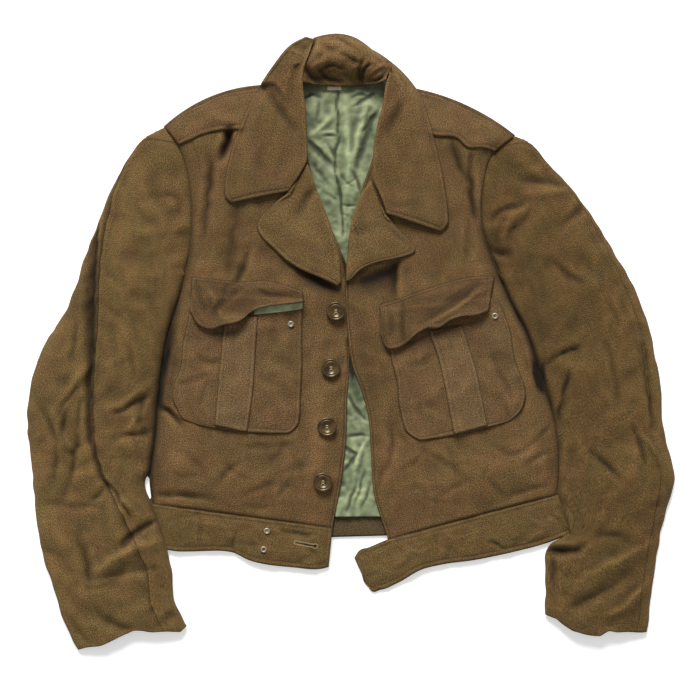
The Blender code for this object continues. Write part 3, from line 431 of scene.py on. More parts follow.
def linear(red, green, blue):
    """A shader colour from an sRGB one given in 0-255."""
    return tuple(((c / 255 + 0.055) / 1.055) ** 2.4 for c in (red, green, blue)) + (1.0,)


def node_with(nodes, kind, settings=None, **marks):
    """A new node of a kind, with the settings of its inputs and its own marks."""
    made = nodes.new(f"ShaderNode{kind}")
    for mark, value in marks.items():
        setattr(made, mark, value)
    for socket, value in (settings or {}).items():
        made.inputs[socket].default_value = value
    return made


def new_material(name, settings):
    """A new material with these settings of its shader. Gives its nodes, links and shader too."""
    made = bpy.data.materials.new(name)
    made.use_nodes = True
    nodes, links = made.node_tree.nodes, made.node_tree.links
    shader = nodes["Principled BSDF"]
    for socket, value in settings.items():
        shader.inputs[socket].default_value = value
    return made, nodes, links, shader


def heather_group():
    """Brown wool with olive fibres: mottled, streaked along the warp, with a fine twill, and with
    painted light and shade.
    """
    group = bpy.data.node_groups.new("heather wool", "ShaderNodeTree")
    for name, kind, direction in (("Warm", "NodeSocketColor", "INPUT"),
                                  ("Cool", "NodeSocketColor", "INPUT"),
                                  ("Color", "NodeSocketColor", "OUTPUT"),
                                  ("Height", "NodeSocketFloat", "OUTPUT")):
        group.interface.new_socket(name=name, in_out=direction, socket_type=kind)
    nodes, links = group.nodes, group.links
    given, result = nodes.new("NodeGroupInput"), nodes.new("NodeGroupOutput")
    weave = node_with(nodes, "UVMap", uv_map="weave")

    def noisy(scale, detail, stretch=(1, 1, 1)):
        mapping = node_with(nodes, "Mapping", {"Scale": stretch})
        texture = node_with(nodes, "TexNoise",
                            {"Scale": scale, "Detail": detail, "Roughness": 0.6})
        links.new(weave.outputs["UV"], mapping.inputs["Vector"])
        links.new(mapping.outputs["Vector"], texture.inputs["Vector"])
        return texture.outputs["Fac"]

    def sized(source, low_in, high_in, low_out, high_out):
        made = node_with(nodes, "MapRange", {"From Min": low_in, "From Max": high_in,
                                             "To Min": low_out, "To Max": high_out})
        links.new(source, made.inputs["Value"])
        return made.outputs["Result"]

    def joined(one, other, operation="ADD"):
        made = node_with(nodes, "Math", operation=operation)
        links.new(one, made.inputs[0])
        links.new(other, made.inputs[1])
        return made.outputs["Value"]

    def marked(label):
        return node_with(nodes, "Attribute", attribute_name=label).outputs["Fac"]

    fibres = noisy(780, 2)
    patches = noisy(17, 3)
    streaks = noisy(330, 1, (1, 0.05, 1))
    specks = noisy(860, 1)
    clouds = noisy(45, 2)
    blend = joined(sized(fibres, 0.3, 0.7, 0.0, 1.0), sized(patches, 0.35, 0.65, -0.3, 0.3))
    mixed = node_with(nodes, "Mix", data_type="RGBA")
    links.new(blend, mixed.inputs["Factor"])
    links.new(given.outputs["Cool"], mixed.inputs["A"])
    links.new(given.outputs["Warm"], mixed.inputs["B"])
    shade = sized(specks, 0.3, 0.7, 0.2, 1.8)
    for other in (sized(fibres, 0.3, 0.7, 0.55, 1.45),
                  sized(streaks, 0.3, 0.7, 0.93, 1.07),
                  sized(clouds, 0.3, 0.7, 0.9, 1.1),
                  # painted shade along the turned-in edges
                  sized(marked("from_edge"), 0.5, 2.2, 0.5, 1.0),
                  # painted shade in the creases, and painted light on the ridges
                  sized(marked("hollow"), -2.4, 1.6, 0.42, 1.3),
                  # the painted light and shade that each piece carries
                  marked("painted_light")):
        shade = joined(shade, other, "MULTIPLY")
    scaled = node_with(nodes, "VectorMath", operation="SCALE")
    links.new(mixed.outputs["Result"], scaled.inputs["Vector"])
    links.new(shade, scaled.inputs["Scale"])
    links.new(scaled.outputs["Vector"], result.inputs["Color"])

    twill = node_with(nodes, "TexWave", {"Scale": 260, "Distortion": 1.5, "Detail": 1,
                                         "Detail Scale": 2}, bands_direction="DIAGONAL")
    links.new(weave.outputs["UV"], twill.inputs["Vector"])
    height = joined(sized(twill.outputs["Fac"], 0, 1, 0, 0.5), fibres)
    links.new(joined(height, sized(specks, 0.2, 0.8, 0, 0.4)), result.inputs["Height"])
    return group


HEATHER = heather_group()


def wool(name, warm, cool):
    """One panel's wool, with its own two fibre colours; they differ from panel to panel partly as
    the wool's own colour and partly as painted light and shade.
    """
    made, nodes, links, shader = new_material(name, {
        "Roughness": 0.93, "Specular IOR Level": 0.25, "Sheen Weight": 0.25,
        "Sheen Roughness": 0.5, "Sheen Tint": linear(170, 140, 100)})
    cloth = nodes.new("ShaderNodeGroup")
    cloth.node_tree = HEATHER
    cloth.inputs["Warm"].default_value = linear(*warm)
    cloth.inputs["Cool"].default_value = linear(*cool)
    bump = node_with(nodes, "Bump", {"Distance": 0.0005, "Strength": 0.7})
    links.new(cloth.outputs["Color"], shader.inputs["Base Color"])
    links.new(cloth.outputs["Height"], bump.inputs["Height"])
    links.new(bump.outputs["Normal"], shader.inputs["Normal"])
    return made


def slot_shade(side, y, far):
    """Painted shade on the cloth beside the slot between body and sleeve: its brightness this far
    from the slot.
    """
    places, depths = np.array(SLOT_SHADE[side]).T
    return 1 - np.interp(y, places, depths) * np.exp(-(far / SLOT_WIDE[side]) ** 2)


def front_piece(side, table, folds, shades, seed):
    """One front, from its table to its finished cloth. Gives its points."""
    grid = cloth_grid(table, 161, FRONT_PITCH, "last", FRONT_RISE)
    inner = np.clip(from_edges(grid, "first") / SEAM_CALM, 0, 1)
    folded(grid, folds, inner)
    rumpled(grid, FRONT_WAVES, seed, inner)
    # the hem goes in under the waistband
    grid[0, :, 1] -= HEM_TUCK
    grid[0, :, 2] = np.minimum(grid[0, :, 2], HEM_HEIGHT)
    over_lining = np.clip(from_edges(grid, "first") / ROOM_OVER - 0.7, 0, 1)
    grid[..., 2] = np.maximum(grid[..., 2], 2 * WOOL + REST + LINING_ROOM * over_lining)
    # the folded edge shows as a narrow rim with the stitches close beside it
    grid[..., 2] += beside_edge(from_edges(grid, "last"), FRONT_RIM)
    seam = from_edges(grid, "first")
    grid[..., 2] += beside_edge(seam, SEAM_DIP)
    far = from_edges(grid, "last")
    # painted light and shade from the shades table, and painted shade beside the slot to the sleeve
    painted_light = np.clip(1 + along_folds(grid, shades), DARKEST, None)
    painted_light *= slot_shade(side, grid[..., 1], seam)
    # a paler rim, with painted shade along the stitches
    painted_light *= beside_edge(far, RIM_TONE, 1)
    piece = piece_of(f"cloth_front_{side}", grid, WOOL, far, painted_light)
    material = wool(f"wool front {side}", (111, 81, 50), (94, 77, 44))
    sewn_on(piece, f"front_{side}", material)
    return grid


front_right = front_piece("right", FRONT_RIGHT, FRONT_FOLDS_RIGHT, SHADES_RIGHT, 1.7)
front_left = front_piece("left", FRONT_LEFT, FRONT_FOLDS_LEFT, SHADES_LEFT, 4.1)

# ============================================================ back
# The back is one plain piece of the same wool. It lies flat on the surface, and its side seams
# and armholes are those of the fronts.

HEM_BOW = -21          # the back hem sags this far below a straight line
UNDER_SLEEVE = 4.0     # the sides of the back show this far under the sleeves
OPEN_GAP = (-194, -168)  # but not here, beside the right elbow
BACK_PITCH = 5
# the back's top edge bulges up from a straight line to this one, which the straps cover
SHOULDER_LINE = ((-235, 271), (-189, 300), (-161, 314), (-120, 322), (65, 321), (126, 304),
                 (164, 285), (204, 260))


def back_piece():
    """The back, between the side seams and the armholes of the two fronts."""
    columns = 97
    shares = np.linspace(0, 1, columns)
    heights = smooth_through([across(row, 3) for row in FRONT_RIGHT])[:, 0]
    others = smooth_through([across(row, 3) for row in FRONT_LEFT])[:, 0]
    line = np.array(SHOULDER_LINE, float)
    top_x = heights[-1][0] + (others[-1][0] - heights[-1][0]) * shares
    bulge = np.interp(top_x, line[:, 0], line[:, 1])
    bulge -= np.linspace(heights[-1][1], others[-1][1], columns)
    pit = ROW_STEPS * PIT
    rows = []
    for k, (start, end) in enumerate(zip(heights, others)):
        rise = max(0.0, (k - pit) / (len(heights) - 1 - pit)) ** 1.5
        sag = HEM_BOW * max(0.0, 1 - k / (2 * ROW_STEPS)) ** 2
        start, end = start.copy(), end.copy()
        under = min(1.0, max(0.0, 2 * (pit - k) / ROW_STEPS))
        if not OPEN_GAP[0] < start[1] < OPEN_GAP[1]:
            start[0] -= UNDER_SLEEVE * under
        end[0] += UNDER_SLEEVE * under
        row = start + np.outer(shares, end - start)
        row[:, 1] += rise * bulge + sag * 4 * shares * (1 - shares)
        rows.append(row)
    grid = respaced(np.array(rows), 0, BACK_PITCH, False, False)
    grid[..., 2] = WOOL
    piece = piece_of("cloth_back", grid, WOOL)
    sewn_on(piece, "back", wool("wool back", (107, 81, 52), (90, 78, 45)))


back_piece()

# ============================================================ sleeves
# A sleeve is two pieces, a top sleeve and an under sleeve, sewn along the hind arm and below the
# forearm. It lies flattened, with air in it. The top sleeve stands over the hind-arm seam.

# a sleeve row runs from the elbow side to the body side; seam is the hind-arm seam's place on it
SleeveRow = namedtuple("SleeveRow", "x0 y0 x1 y1 bow loft seam")

SLEEVE_RIGHT = (
    SleeveRow(-264, 252, -213, 79, 0, 16, 0.012),
    SleeveRow(-286, 222, -216, 66, 0, 20, 0.015),
    SleeveRow(-307, 176, -222, 42, 0, 23, 0.07),
    SleeveRow(-332, 112, -231, 12, 0, 24, 0.19),
    SleeveRow(-353, 50, -236, -22, 0, 24, 0.32),
    SleeveRow(-391, -15, -241, -54, 0, 24, 0.48),
    SleeveRow(-405, -79, -246, -98, 0, 23, 0.53),
    SleeveRow(-401, -145, -258, -160, 0, 22, 0.62),
    SleeveRow(-396, -195, -256, -194, 0, 21, 0.72),
    SleeveRow(-391, -243, -238, -238, 0, 19, 0.77),
    SleeveRow(-371, -312, -225, -285, 0, 17, 0.8),
    SleeveRow(-359, -350, -221, -322, 0, 16, 0.8),
    SleeveRow(-342, -382, -207, -352, -2, 14, 0.8),
)
SLEEVE_LEFT = (
    SleeveRow(226, 248, 189, 82, 0, 16, 0.012),
    SleeveRow(242, 229, 194, 70, 0, 20, 0.015),
    SleeveRow(285, 182, 209, 38, 0, 23, 0.03),
    SleeveRow(325, 118, 222, 6, 0, 24, 0.05),
    SleeveRow(357, 60, 232, -22, 0, 24, 0.08),
    SleeveRow(375, 6, 239, -46, 0, 24, 0.09),
    SleeveRow(386, -60, 250, -86, 0, 23, 0.12),
    SleeveRow(391, -118, 258, -130, 0, 22, 0.13),
    SleeveRow(403, -168, 258, -178, 0, 22, 0.13),
    SleeveRow(394, -204, 262, -208, 0, 21, 0.12),
    SleeveRow(387, -234, 266, -239, 0, 18, 0.11),
    SleeveRow(384, -252, 247, -253, 0, 17, 0.1),
    SleeveRow(376, -296, 242, -296, 0, 17, 0.1),
    SleeveRow(369, -358, 242, -338, 13, 14, 0.1),
)
SLEEVE_FOLDS_RIGHT = (
    # folds over the upper arm and the armpit
    Fold(-264, 178, -226, 185, -215, 164, -1.5, 8, 8),
    Fold(-229, 94, -216, 94, -209, 86, -1.5, 7, 6),
    Fold(-279, -2, -272, -28, -275, -52, -1.2, 5, 8),
    # creases in front of the elbow
    Fold(-299, -79, -276, -70, -249, -46, 2, 9, 9),
    Fold(-296, -88, -276, -79, -251, -62, -2.4, 8, 5),
    Fold(-299, -121, -276, -114, -251, -110, -2.2, 7, 7),
    Fold(-281, -109, -266, -91, -249, -71, 2.5, 8, 8),
    Fold(-260, -74, -264, -89, -271, -104, -2.5, 6, 6),
    # the hollow behind the top sleeve
    Fold(-315, 151, -321, 66, -322, -11, -6, 3.5, 17),
    Fold(-322, -6, -325, -44, -326, -86, -6, 4, 11),
    Fold(-326, -81, -326, -106, -321, -131, -5, 5, 9),
    Fold(-322, -129, -315, -156, -301, -181, -3, 4, 7),
    Fold(-306, -171, -290, -196, -275, -221, -3, 4, 7),
    # creases at the elbow
    Fold(-321, -21, -339, -44, -364, -84, 3, 9, 14),
    Fold(-342, -56, -354, -69, -365, -88, -3, 5, 6),
    Fold(-355, -86, -359, -101, -360, -116, -2.8, 6, 5),
    Fold(-386, -81, -371, -109, -369, -131, -2.5, 6, 7),
    Fold(-369, -131, -369, -151, -374, -174, -2, 6, 6),
    Fold(-340, -111, -345, -140, -356, -189, -2.5, 7, 7),
    Fold(-324, -194, -315, -188, -305, -176, -2.5, 5, 5),
    Fold(-391, -199, -351, -202, -314, -204, -1.2, 9, 9),
    Fold(-341, 26, -346, -2, -351, -29, -2.2, 8, 6),
    Fold(-356, -116, -349, -129, -339, -136, 2, 6, 6),
    Fold(-335, -69, -339, -84, -344, -111, -2.5, 6, 5),
    Fold(-389, -252, -374, -262, -361, -266, -1, 7, 7),
    # folds over the forearm
    Fold(-288, -255, -271, -238, -246, -221, -4.5, 8, 6),
    Fold(-322, -292, -282, -262, -238, -246, 4, 14, 16),
    Fold(-322, -295, -276, -285, -229, -279, -1.8, 16, 5),
    Fold(-339, -246, -331, -274, -326, -311, -2.8, 10, 10),
    Fold(-316, -336, -299, -349, -275, -361, -3, 12, 12),
    Fold(-239, -349, -224, -338, -210, -329, -2.5, 9, 9),
    Fold(-354, -341, -341, -359, -329, -375, -2, 8, 8),
    Fold(-286, -196, -274, -206, -266, -221, 1.5, 6, 6),
)
SLEEVE_FOLDS_LEFT = (
    # folds over the upper arm and the armpit
    Fold(211, 204, 236, 201, 265, 196, -3, 12, 7),
    Fold(211, 188, 236, 186, 259, 190, 2, 6, 8),
    Fold(291, 180, 279, 162, 261, 148, -2.8, 10, 10),
    Fold(175, 152, 186, 165, 209, 172, -2.6, 6, 6),
    Fold(216, 170, 195, 148, 186, 121, 3, 7, 7),
    Fold(221, 166, 212, 151, 190, 141, -1.8, 6, 5),
    Fold(171, 121, 184, 112, 198, 111, -3.6, 7, 7),
    Fold(249, 104, 269, 84, 291, 75, -2.6, 8, 10),
    # creases at the elbow
    Fold(244, -26, 264, -11, 286, -4, -2.8, 6, 6),
    Fold(270, -36, 265, -61, 259, -89, -3, 7, 7),
    Fold(308, 9, 324, -24, 330, -78, -1.6, 8, 8),
    Fold(361, -2, 368, -56, 376, -109, -4, 6, 7),
    Fold(374, -21, 380, -65, 384, -109, 1.5, 6, 5),
    Fold(350, -102, 359, -131, 366, -152, -2.8, 6, 5),
    Fold(366, -119, 376, -134, 385, -150, 2, 5, 5),
    Fold(294, -132, 316, -151, 336, -172, -3, 6, 7),
    Fold(269, -69, 256, -96, 236, -124, -3, 9, 9),
    Fold(252, -152, 256, -184, 269, -209, -3, 8, 8),
    Fold(318, 54, 326, 35, 334, 19, -1.5, 6, 6),
    Fold(391, -171, 392, -190, 389, -209, -1.5, 5, 5),
    # folds over the forearm
    Fold(241, -255, 261, -260, 286, -254, -6, 9, 9),
    Fold(248, -259, 251, -286, 249, -314, -3.4, 9, 7),
    Fold(304, -240, 326, -240, 349, -251, -1.6, 8, 8),
    Fold(289, -292, 324, -274, 369, -252, 3.5, 10, 18),
    Fold(269, -329, 301, -316, 344, -289, -3, 14, 10),
    Fold(319, -341, 346, -321, 376, -294, 3, 8, 12),
)
# painted shade and painted light on the sleeves, given as for the fronts
SLEEVE_SHADES_RIGHT = (
    Fold(-376, 20, -390, -60, -384, -150, -0.17, 44, 40),
    Fold(-330, 150, -344, 70, -358, 6, -0.22, 26, 26),
    Fold(-316, 156, -319, 56, -321, -72, -0.6, 2.5, 19),
    Fold(-320, -62, -322, -96, -316, -134, -0.4, 3, 12),
    Fold(-322, 100, -328, 40, -326, -24, -0.35, 7, 26),
    Fold(-262, -40, -262, -90, -262, -130, -0.25, 30, 12),
    Fold(-330, -90, -350, -120, -372, -170, -0.15, 30, 30),
    Fold(-300, 150, -290, 60, -290, -20, 0.06, 26, 26),
    Fold(-354, -30, -358, -100, -352, -176, -0.09, 34, 34),
)
SLEEVE_SHADES_LEFT = (
    Fold(330, -30, 350, -120, 350, -210, 0.13, 60, 60),
    Fold(310, -250, 304, -300, 300, -350, 0.13, 70, 70),
    Fold(230, 150, 280, 80, 312, 0, -0.07, 60, 60),
    Fold(178, 150, 186, 120, 214, 96, -0.4, 16, 16),
    Fold(214, 90, 232, 30, 244, -30, -0.2, 22, 12),
    Fold(244, -252, 262, -262, 284, -256, -0.3, 12, 16),
    Fold(262, -70, 256, -110, 240, -150, -0.15, 20, 20),
    Fold(238, -24, 239, -42, 241, -60, -1.4, 5, 5),
    Fold(300, 100, 330, 20, 360, -60, 0.05, 40, 40),
)

OUTWARD = {"right": -1, "left": 1}  # which way along X is away from the body
SLEEVE_PITCH = 2.8     # distance between a sleeve's points
SLEEVE_EDGE = 4.0      # height of the fold along both edges of a flattened sleeve
CROWN_WIDTH, CROWN_SIDES = 2.6, 0.62  # how broad a sleeve's top is, and how round its sides are
EDGE_TURN = 30         # how sharply the under sleeve turns up at its edges
FOREARM_SEAM = 0.75    # place of the seam under the sleeve, across its width
ARMHOLE_LAP = 0.7      # a sleeve's first row goes this far under the front
SLEEVE_WAVES = ((2.6, 48, 0), (0.9, 19, 5))
ARMHOLE_DIP, HIND_SEAM_DIP = ((0.6, 0, 1.8),), ((0.6, 0, 1.1),)
MOUTH = 25             # the hind-arm seam takes its form over this distance from the armhole
# how far the top sleeve stands over the under sleeve at the seam, by share of the arm's length,
# and how dark the painted shade beside the seam is there
STEP_AT = (0.0, 0.12, 0.3, 0.45, 0.6, 1.0)
STEP_HEIGHT = {"right": (0.0, 1.6, 2.8, 2.4, 1.2, 0.4), "left": (0.0, 1.0, 0.6, 0.8, 0.8, 0.4)}
STEP_WIDTH = 13.0      # the step dies out over this width
SEAM_SHADE = {"right": (0.0, 0.5, 0.75, 0.6, 0.5, 0.1), "left": (0.1, 0.2, 0.3, 0.4, 0.4, 0.1)}
SEAM_SHADE_WIDE = 6.0
# how far the lower edge of each cuff strays from a plain curve, by its place across the arm
CUFF_AT = {"right": (-342, -313, -272, -235, -214, -207),
           "left": (242, 256, 276, 311, 321, 346, 369)}
CUFF_SHIFT = {"right": (0, -3, 6, -3, -7, 0), "left": (0, 2, -5, -3, 4, 1, -3)}
CUFF_DEPTH = 26.0      # the straying begins this far above the edge
# how far the crumpled outline of a sleeve strays, in waves of what size, and from where on
CRUMPLE, CRUMPLE_SIZE, CRUMPLE_FROM = 1.8, 19, 60
SIDE_GAP = -1.2        # gap between a sleeve and the side seam; below 0 it laps over the seam
# the side line of the waistband, below the side seam
BAND_SIDE = {"right": ((-231, -258), (-250, -200)), "left": ((274, -238), (257, -188))}
# a sleeve lies against the body down to this height where the gap to it is less than this, and
# its cloth gives way over this width
LIES_TO, CLOSED, EASED_OVER = -280, 9.0, 45.0
OPEN_AT = {"right": (-200, -160), "left": (-66, -22)}  # it stands off between these heights
# the left sleeve's colours are darker, partly as the wool's own colour and partly as painted shade
SLEEVE_WOOL = {"right": ((110, 82, 49), (94, 79, 42)), "left": ((101, 74, 42), (84, 69, 35))}


def closer_at_start(count):
    """Shares from 0 to 1, closer together at 0, where a sleeve turns over at its edge."""
    return 1 - np.cos(0.5 * math.pi * np.linspace(0, 1, count))


def closer_at_end(count):
    """The same, but closer together at 1."""
    return np.sin(0.5 * math.pi * np.linspace(0, 1, count))


def crumpled(grid, mouth, seed):
    """Let the outline of a sleeve stray to the sides, as crumpled cloth does."""
    stray = np.clip(mouth / CRUMPLE_FROM, 0, 1) * CRUMPLE
    for place in np.ndindex(*stray.shape):
        x, y, _ = grid[place]
        moved = noise.noise_vector(Vector((x / CRUMPLE_SIZE, y / CRUMPLE_SIZE, seed)))
        grid[place][:2] += stray[place] * np.array((moved.x, moved.y))


def laid_to_body(grid, side, inner_edge, limit, on_side):
    """Close a narrow gap between a sleeve and the body, and let it lap over no further."""
    outward = OUTWARD[side]
    inner_x = np.interp(grid[..., 1], inner_edge[:, 1], inner_edge[:, 0])
    gap = np.clip(outward * (inner_x - limit), 0, CLOSED)
    gap *= np.clip((CLOSED + 4 - outward * (inner_x - limit)) / 4, 0, 1)
    gap *= np.clip((grid[..., 1] - LIES_TO) / 8, 0, 1) * on_side
    lower, upper = OPEN_AT[side]
    middle, reach = 0.5 * (lower + upper), 0.5 * (upper - lower)
    gap *= np.clip(np.abs(grid[..., 1] - middle) / reach, 0, 1) ** 2
    away = np.clip(1 - outward * (grid[..., 0] - inner_x) / EASED_OVER, 0, 1)
    grid[..., 0] -= outward * gap * away ** 2
    short = on_side & (outward * (grid[..., 0] - limit) < 0)
    grid[..., 0] = np.where(short, limit, grid[..., 0])


def sleeve_pieces(side, table, front, front_table, folds, shades, seed):
    """The top and the under sleeve of one side, from the armhole to the cuff."""
    outward = OUTWARD[side]
    armhole_top = (front_table[-2].x0, front_table[-2].y0)
    pit_y = front_table[PIT].y0
    edge = front[:, 0]
    armhole = edge[edge[:, 1] > pit_y][::-1].copy()
    armhole[:, 0] -= outward * ARMHOLE_LAP
    steps_along = np.linalg.norm(np.diff(armhole[:, :2], axis=0), axis=1)
    spread = np.concatenate(((0.0,), np.cumsum(steps_along)))
    spread /= spread[-1]
    split = spread[np.argmin(np.hypot(*(armhole[:, :2] - armhole_top).T))]

    def on_row(row, c, under):
        """A point of a row, at a share of the width across the sleeve."""
        start, end = np.array((row.x0, row.y0)), np.array((row.x1, row.y1))
        run = end - start
        sideways = np.array((-run[1], run[0])) / np.hypot(*run) * outward
        plan = start + c * run + 4 * c * (1 - c) * row.bow * sideways
        if under:
            lift = SLEEVE_EDGE * (1 - (1 - abs(2 * c - 1) ** EDGE_TURN) ** 0.5)
        else:
            crown = (1 - abs(2 * c - 1) ** CROWN_WIDTH) ** CROWN_SIDES
            lift = SLEEVE_EDGE + (row.loft - SLEEVE_EDGE) * crown
        return (*plan, lift)

    def on_armhole(c, under):
        """A point of the armhole, at a share of its length."""
        x, y, z = (np.interp(c, spread, armhole[:, axis]) for axis in range(3))
        turn = (1 - abs(2 * c - 1) ** EDGE_TURN) ** 0.5
        return (x, y, z * (1 - turn) if under else z)

    def section(row, points):
        """A piece's points on one row, or on the armhole where there is no row."""
        made = []
        for c, under in points:
            if row is None:
                made.append(on_armhole(c, under))
            elif under:
                made.append(on_row(row, c, True))
            elif c <= split:
                made.append(on_row(row, c * row.seam / split, False))
            else:
                made.append(on_row(row, 1 - (1 - c) * (1 - row.seam) / (1 - split), False))
        return made

    # shares of the width across the sleeve, and whether each is on its under side
    top = ([(c, False) for c in split + (1 - split) * closer_at_end(60)]
           + [(c, True) for c in 1 - (1 - FOREARM_SEAM) * closer_at_start(14)[1:]])
    under = ([(c, True) for c in FOREARM_SEAM * closer_at_end(40)[::-1]]
             + [(c, False) for c in split * closer_at_start(40)[1:]])
    middles = np.array([armhole[:, :2].mean(axis=0)]
                       + [(0.5 * (row.x0 + row.x1), 0.5 * (row.y0 + row.y1)) for row in table])
    body_side = smooth_through([across(row, 3) for row in front_table])[:ROW_STEPS * PIT + 1, 0]
    body_side = np.vstack((np.column_stack((BAND_SIDE[side], (0, 0))), body_side))
    for name, points in (("top", top), ("under", under)):
        smooth = smooth_through([section(row, points) for row in (None,) + table], middles)
        grid = respaced(smooth, 1, SLEEVE_PITCH, name == "top", False)
        grid = respaced(grid, 0, SLEEVE_PITCH, False, True)
        # its folds and waves die out towards its edges and the armhole
        shown = np.clip((grid[..., 2] - SLEEVE_EDGE) / 8, 0, 1)
        shown[0] = 0
        from_seam = from_edges(grid, "first" if name == "top" else "last")
        mouth, whole = run_along(grid, 0)
        step = np.clip(1 - from_seam / STEP_WIDTH, 0, 1) ** 2 * np.clip(mouth / MOUTH, 0, 1)
        height = np.interp(mouth / whole, STEP_AT, STEP_HEIGHT[side])
        grid[..., 2] += height * step * (1 if name == "top" else -1)
        folded(grid, folds, shown)
        rumpled(grid, SLEEVE_WAVES, seed, shown)
        if name == "top":
            # the seam shows from below the armhole, and less towards the cuff
            shown_seam = np.clip(mouth / MOUTH - 1, 0, 1)
            shown_seam *= np.clip(3 - 4 * mouth / whole, 0.2, 1)
            grid[..., 2] -= beside_edge(from_seam, HIND_SEAM_DIP) * shown_seam
        grid[..., 2] -= np.minimum(beside_edge(mouth, ARMHOLE_DIP), 0.5 * grid[..., 2])
        to_cuff = np.clip(1 - from_edges(grid, "top") / CUFF_DEPTH, 0, 1)
        grid[..., 1] += to_cuff ** 1.5 * np.interp(grid[..., 0], CUFF_AT[side], CUFF_SHIFT[side])
        crumpled(grid, mouth, seed)
        on_side = (grid[..., 1] > body_side[0, 1]) & (grid[..., 1] < pit_y)
        limit = np.interp(grid[..., 1], body_side[:, 1], body_side[:, 0]) + outward * SIDE_GAP
        if name == "top":
            nearest = np.argmin(outward * grid[..., 0], axis=1)
            inner_edge = grid[np.arange(len(grid)), nearest, :2]
            inner_edge = inner_edge[np.argsort(inner_edge[:, 1])]
        laid_to_body(grid, side, inner_edge, limit, on_side)
        grid[..., 2] = np.maximum(grid[..., 2], 0.05)
        beside = np.where(on_side, outward * (grid[..., 0] - limit), mouth)
        # painted shade beside the slot to the body, and the painted light and shade of the sleeve's
        # table
        painted_light = slot_shade(side, grid[..., 1], np.maximum(beside, 0))
        painted_light *= np.clip(1 + along_folds(grid, shades), DARKEST, None)
        # painted shade on the under sleeve beside the seam, where the top sleeve stands over it
        if name == "under":
            depth = np.interp(mouth / whole, STEP_AT, SEAM_SHADE[side])
            painted_light *= 1 - depth * np.exp(-(from_seam / SEAM_SHADE_WIDE) ** 2)
        piece = piece_of(f"cloth_{name}_sleeve_{side}", grid, WOOL, from_edges(grid, "top"), painted_light)
        material = wool(f"wool {name} sleeve {side}", *SLEEVE_WOOL[side])
        sewn_on(piece, f"{name}_sleeve_{side}", material)


sleeve_pieces("right", SLEEVE_RIGHT, front_right, FRONT_RIGHT, SLEEVE_FOLDS_RIGHT,
              SLEEVE_SHADES_RIGHT, 7.3)
sleeve_pieces("left", SLEEVE_LEFT, front_left, FRONT_LEFT, SLEEVE_FOLDS_LEFT,
              SLEEVE_SHADES_LEFT, 2.9)

# ============================================================ waistband
# The waistband is a doubled strip of wool, pressed flat. Each front's part is stitched over the
# hem. The left one ends in a pointed tab, the right one in a keyhole buttonhole.

BAND = 2.4             # two layers pressed together
BACK_BAND = 2.0        # thickness of the part behind, which is pressed flatter
BAND_PITCH, BACK_BAND_PITCH = 1.6, 4
BAND_WAVES = ((1.6, 30, 0), (0.7, 14, 3))
BAND_LIFT = 0.4        # it stays this far off the surface
WAISTBAND_RIGHT = (
    Row(-250, -199.9, -231, -258, 0, 5, 6.5, 5),
    Row(-220, -203.9, -216, -260, 0, 8, 8.5, 6),
    Row(-201, -206.5, -201, -260, 0, 9, 9, 6),
    Row(-160, -212.1, -150, -261, 0, 9, 9, 6),
    Row(-130, -216.1, -128, -271, 0, 9, 9, 6),
    Row(-72, -223.9, -72, -280, 0, 8.5, 9, 6),
    Row(-34, -229.0, -37, -281.5, 0, 7, 8, 5.5),
    Row(-24, -230.4, -29, -279.5, 0, 6, 7, 5.5),
)
WAISTBAND_LEFT = (
    Row(3, -268, 16, -296, 0, 3, 3.2, 3),
    Row(8, -260, 23, -308, 0, 3, 4, 3),
    Row(22, -254.5, 36, -308, 0, 3.6, 5, 3.6),
    Row(45, -244.8, 58, -299, 0, 6, 8, 5),
    Row(80, -235.4, 86, -283, 0, 8, 9, 6),
    Row(112, -226.9, 114, -276, 0, 9, 9, 6),
    Row(151, -216.5, 151, -271, 0, 9, 9, 6),
    Row(199, -203.8, 200, -261, 0, 9, 9, 6),
    Row(232, -195.0, 242, -250, 0, 7, 8, 5.4),
    Row(257, -188.3, 274, -238, 0, 5, 6.5, 5),
)
WAISTBAND_BACK = (
    Row(-249, -200.1, 256, -188.4, HEM_BOW, 2, 2, 2),
    Row(-231, -250, 264, -236, 2, 2, 2, 2),
)
BAND_FOLDS = (
    Fold(-195, -206, -189, -228, -192, -252, -1.2, 7, 7),
    Fold(-141, -234, -149, -252, -144, -266, -1.5, 6, 6),
    Fold(-89, -234, -70, -238, -45, -239, -1.5, 6, 6),
    Fold(171, -246, 180, -252, 191, -258, -1.4, 5, 5),
    Fold(99, -234, 106, -252, 99, -271, -0.8, 9, 9),
    Fold(246, -202, 251, -215, 261, -224, -1, 6, 6),
)
BAND_SHADES = (
    # painted shade in the slit and the eye of the buttonhole, under the sleeves, and at the top
    # seam; painted light where the depth is above 0
    Fold(-71, -248, -58, -251, -45, -253, -1.3, 1.8, 1.8),
    Fold(-48, -253, -46, -253, -43, -253, -1.3, 2.6, 2.6),
    Fold(-252, -200, -246, -230, -236, -262, -0.4, 16, 10),
    Fold(255, -186, 264, -210, 274, -240, -0.3, 12, 12),
    Fold(16, -288, 50, -276, 92, -262, 0.16, 34, 34),
)


def band_piece(side, table, seed):
    """One front's part of the waistband, stitched all round but at the side seam."""
    edges = "first last bottom" if side == "left" else "first last top"
    grid = cloth_grid(table, 41, BAND_PITCH, edges)
    folded(grid, BAND_FOLDS)
    rumpled(grid, BAND_WAVES, seed)
    grid[..., 2] = np.maximum(grid[..., 2], BAND + BAND_LIFT)
    pressed_edge(grid, edges)
    # painted light and shade from the band's table
    painted_light = 1 + along_folds(grid, BAND_SHADES)
    piece = piece_of(f"cloth_waistband_{side}", grid, BAND, from_edges(grid, edges), painted_light)
    material = wool(f"wool waistband {side}", (106, 80, 47), (92, 77, 41))
    sewn_on(piece, f"waistband_{side}", material)
    return grid


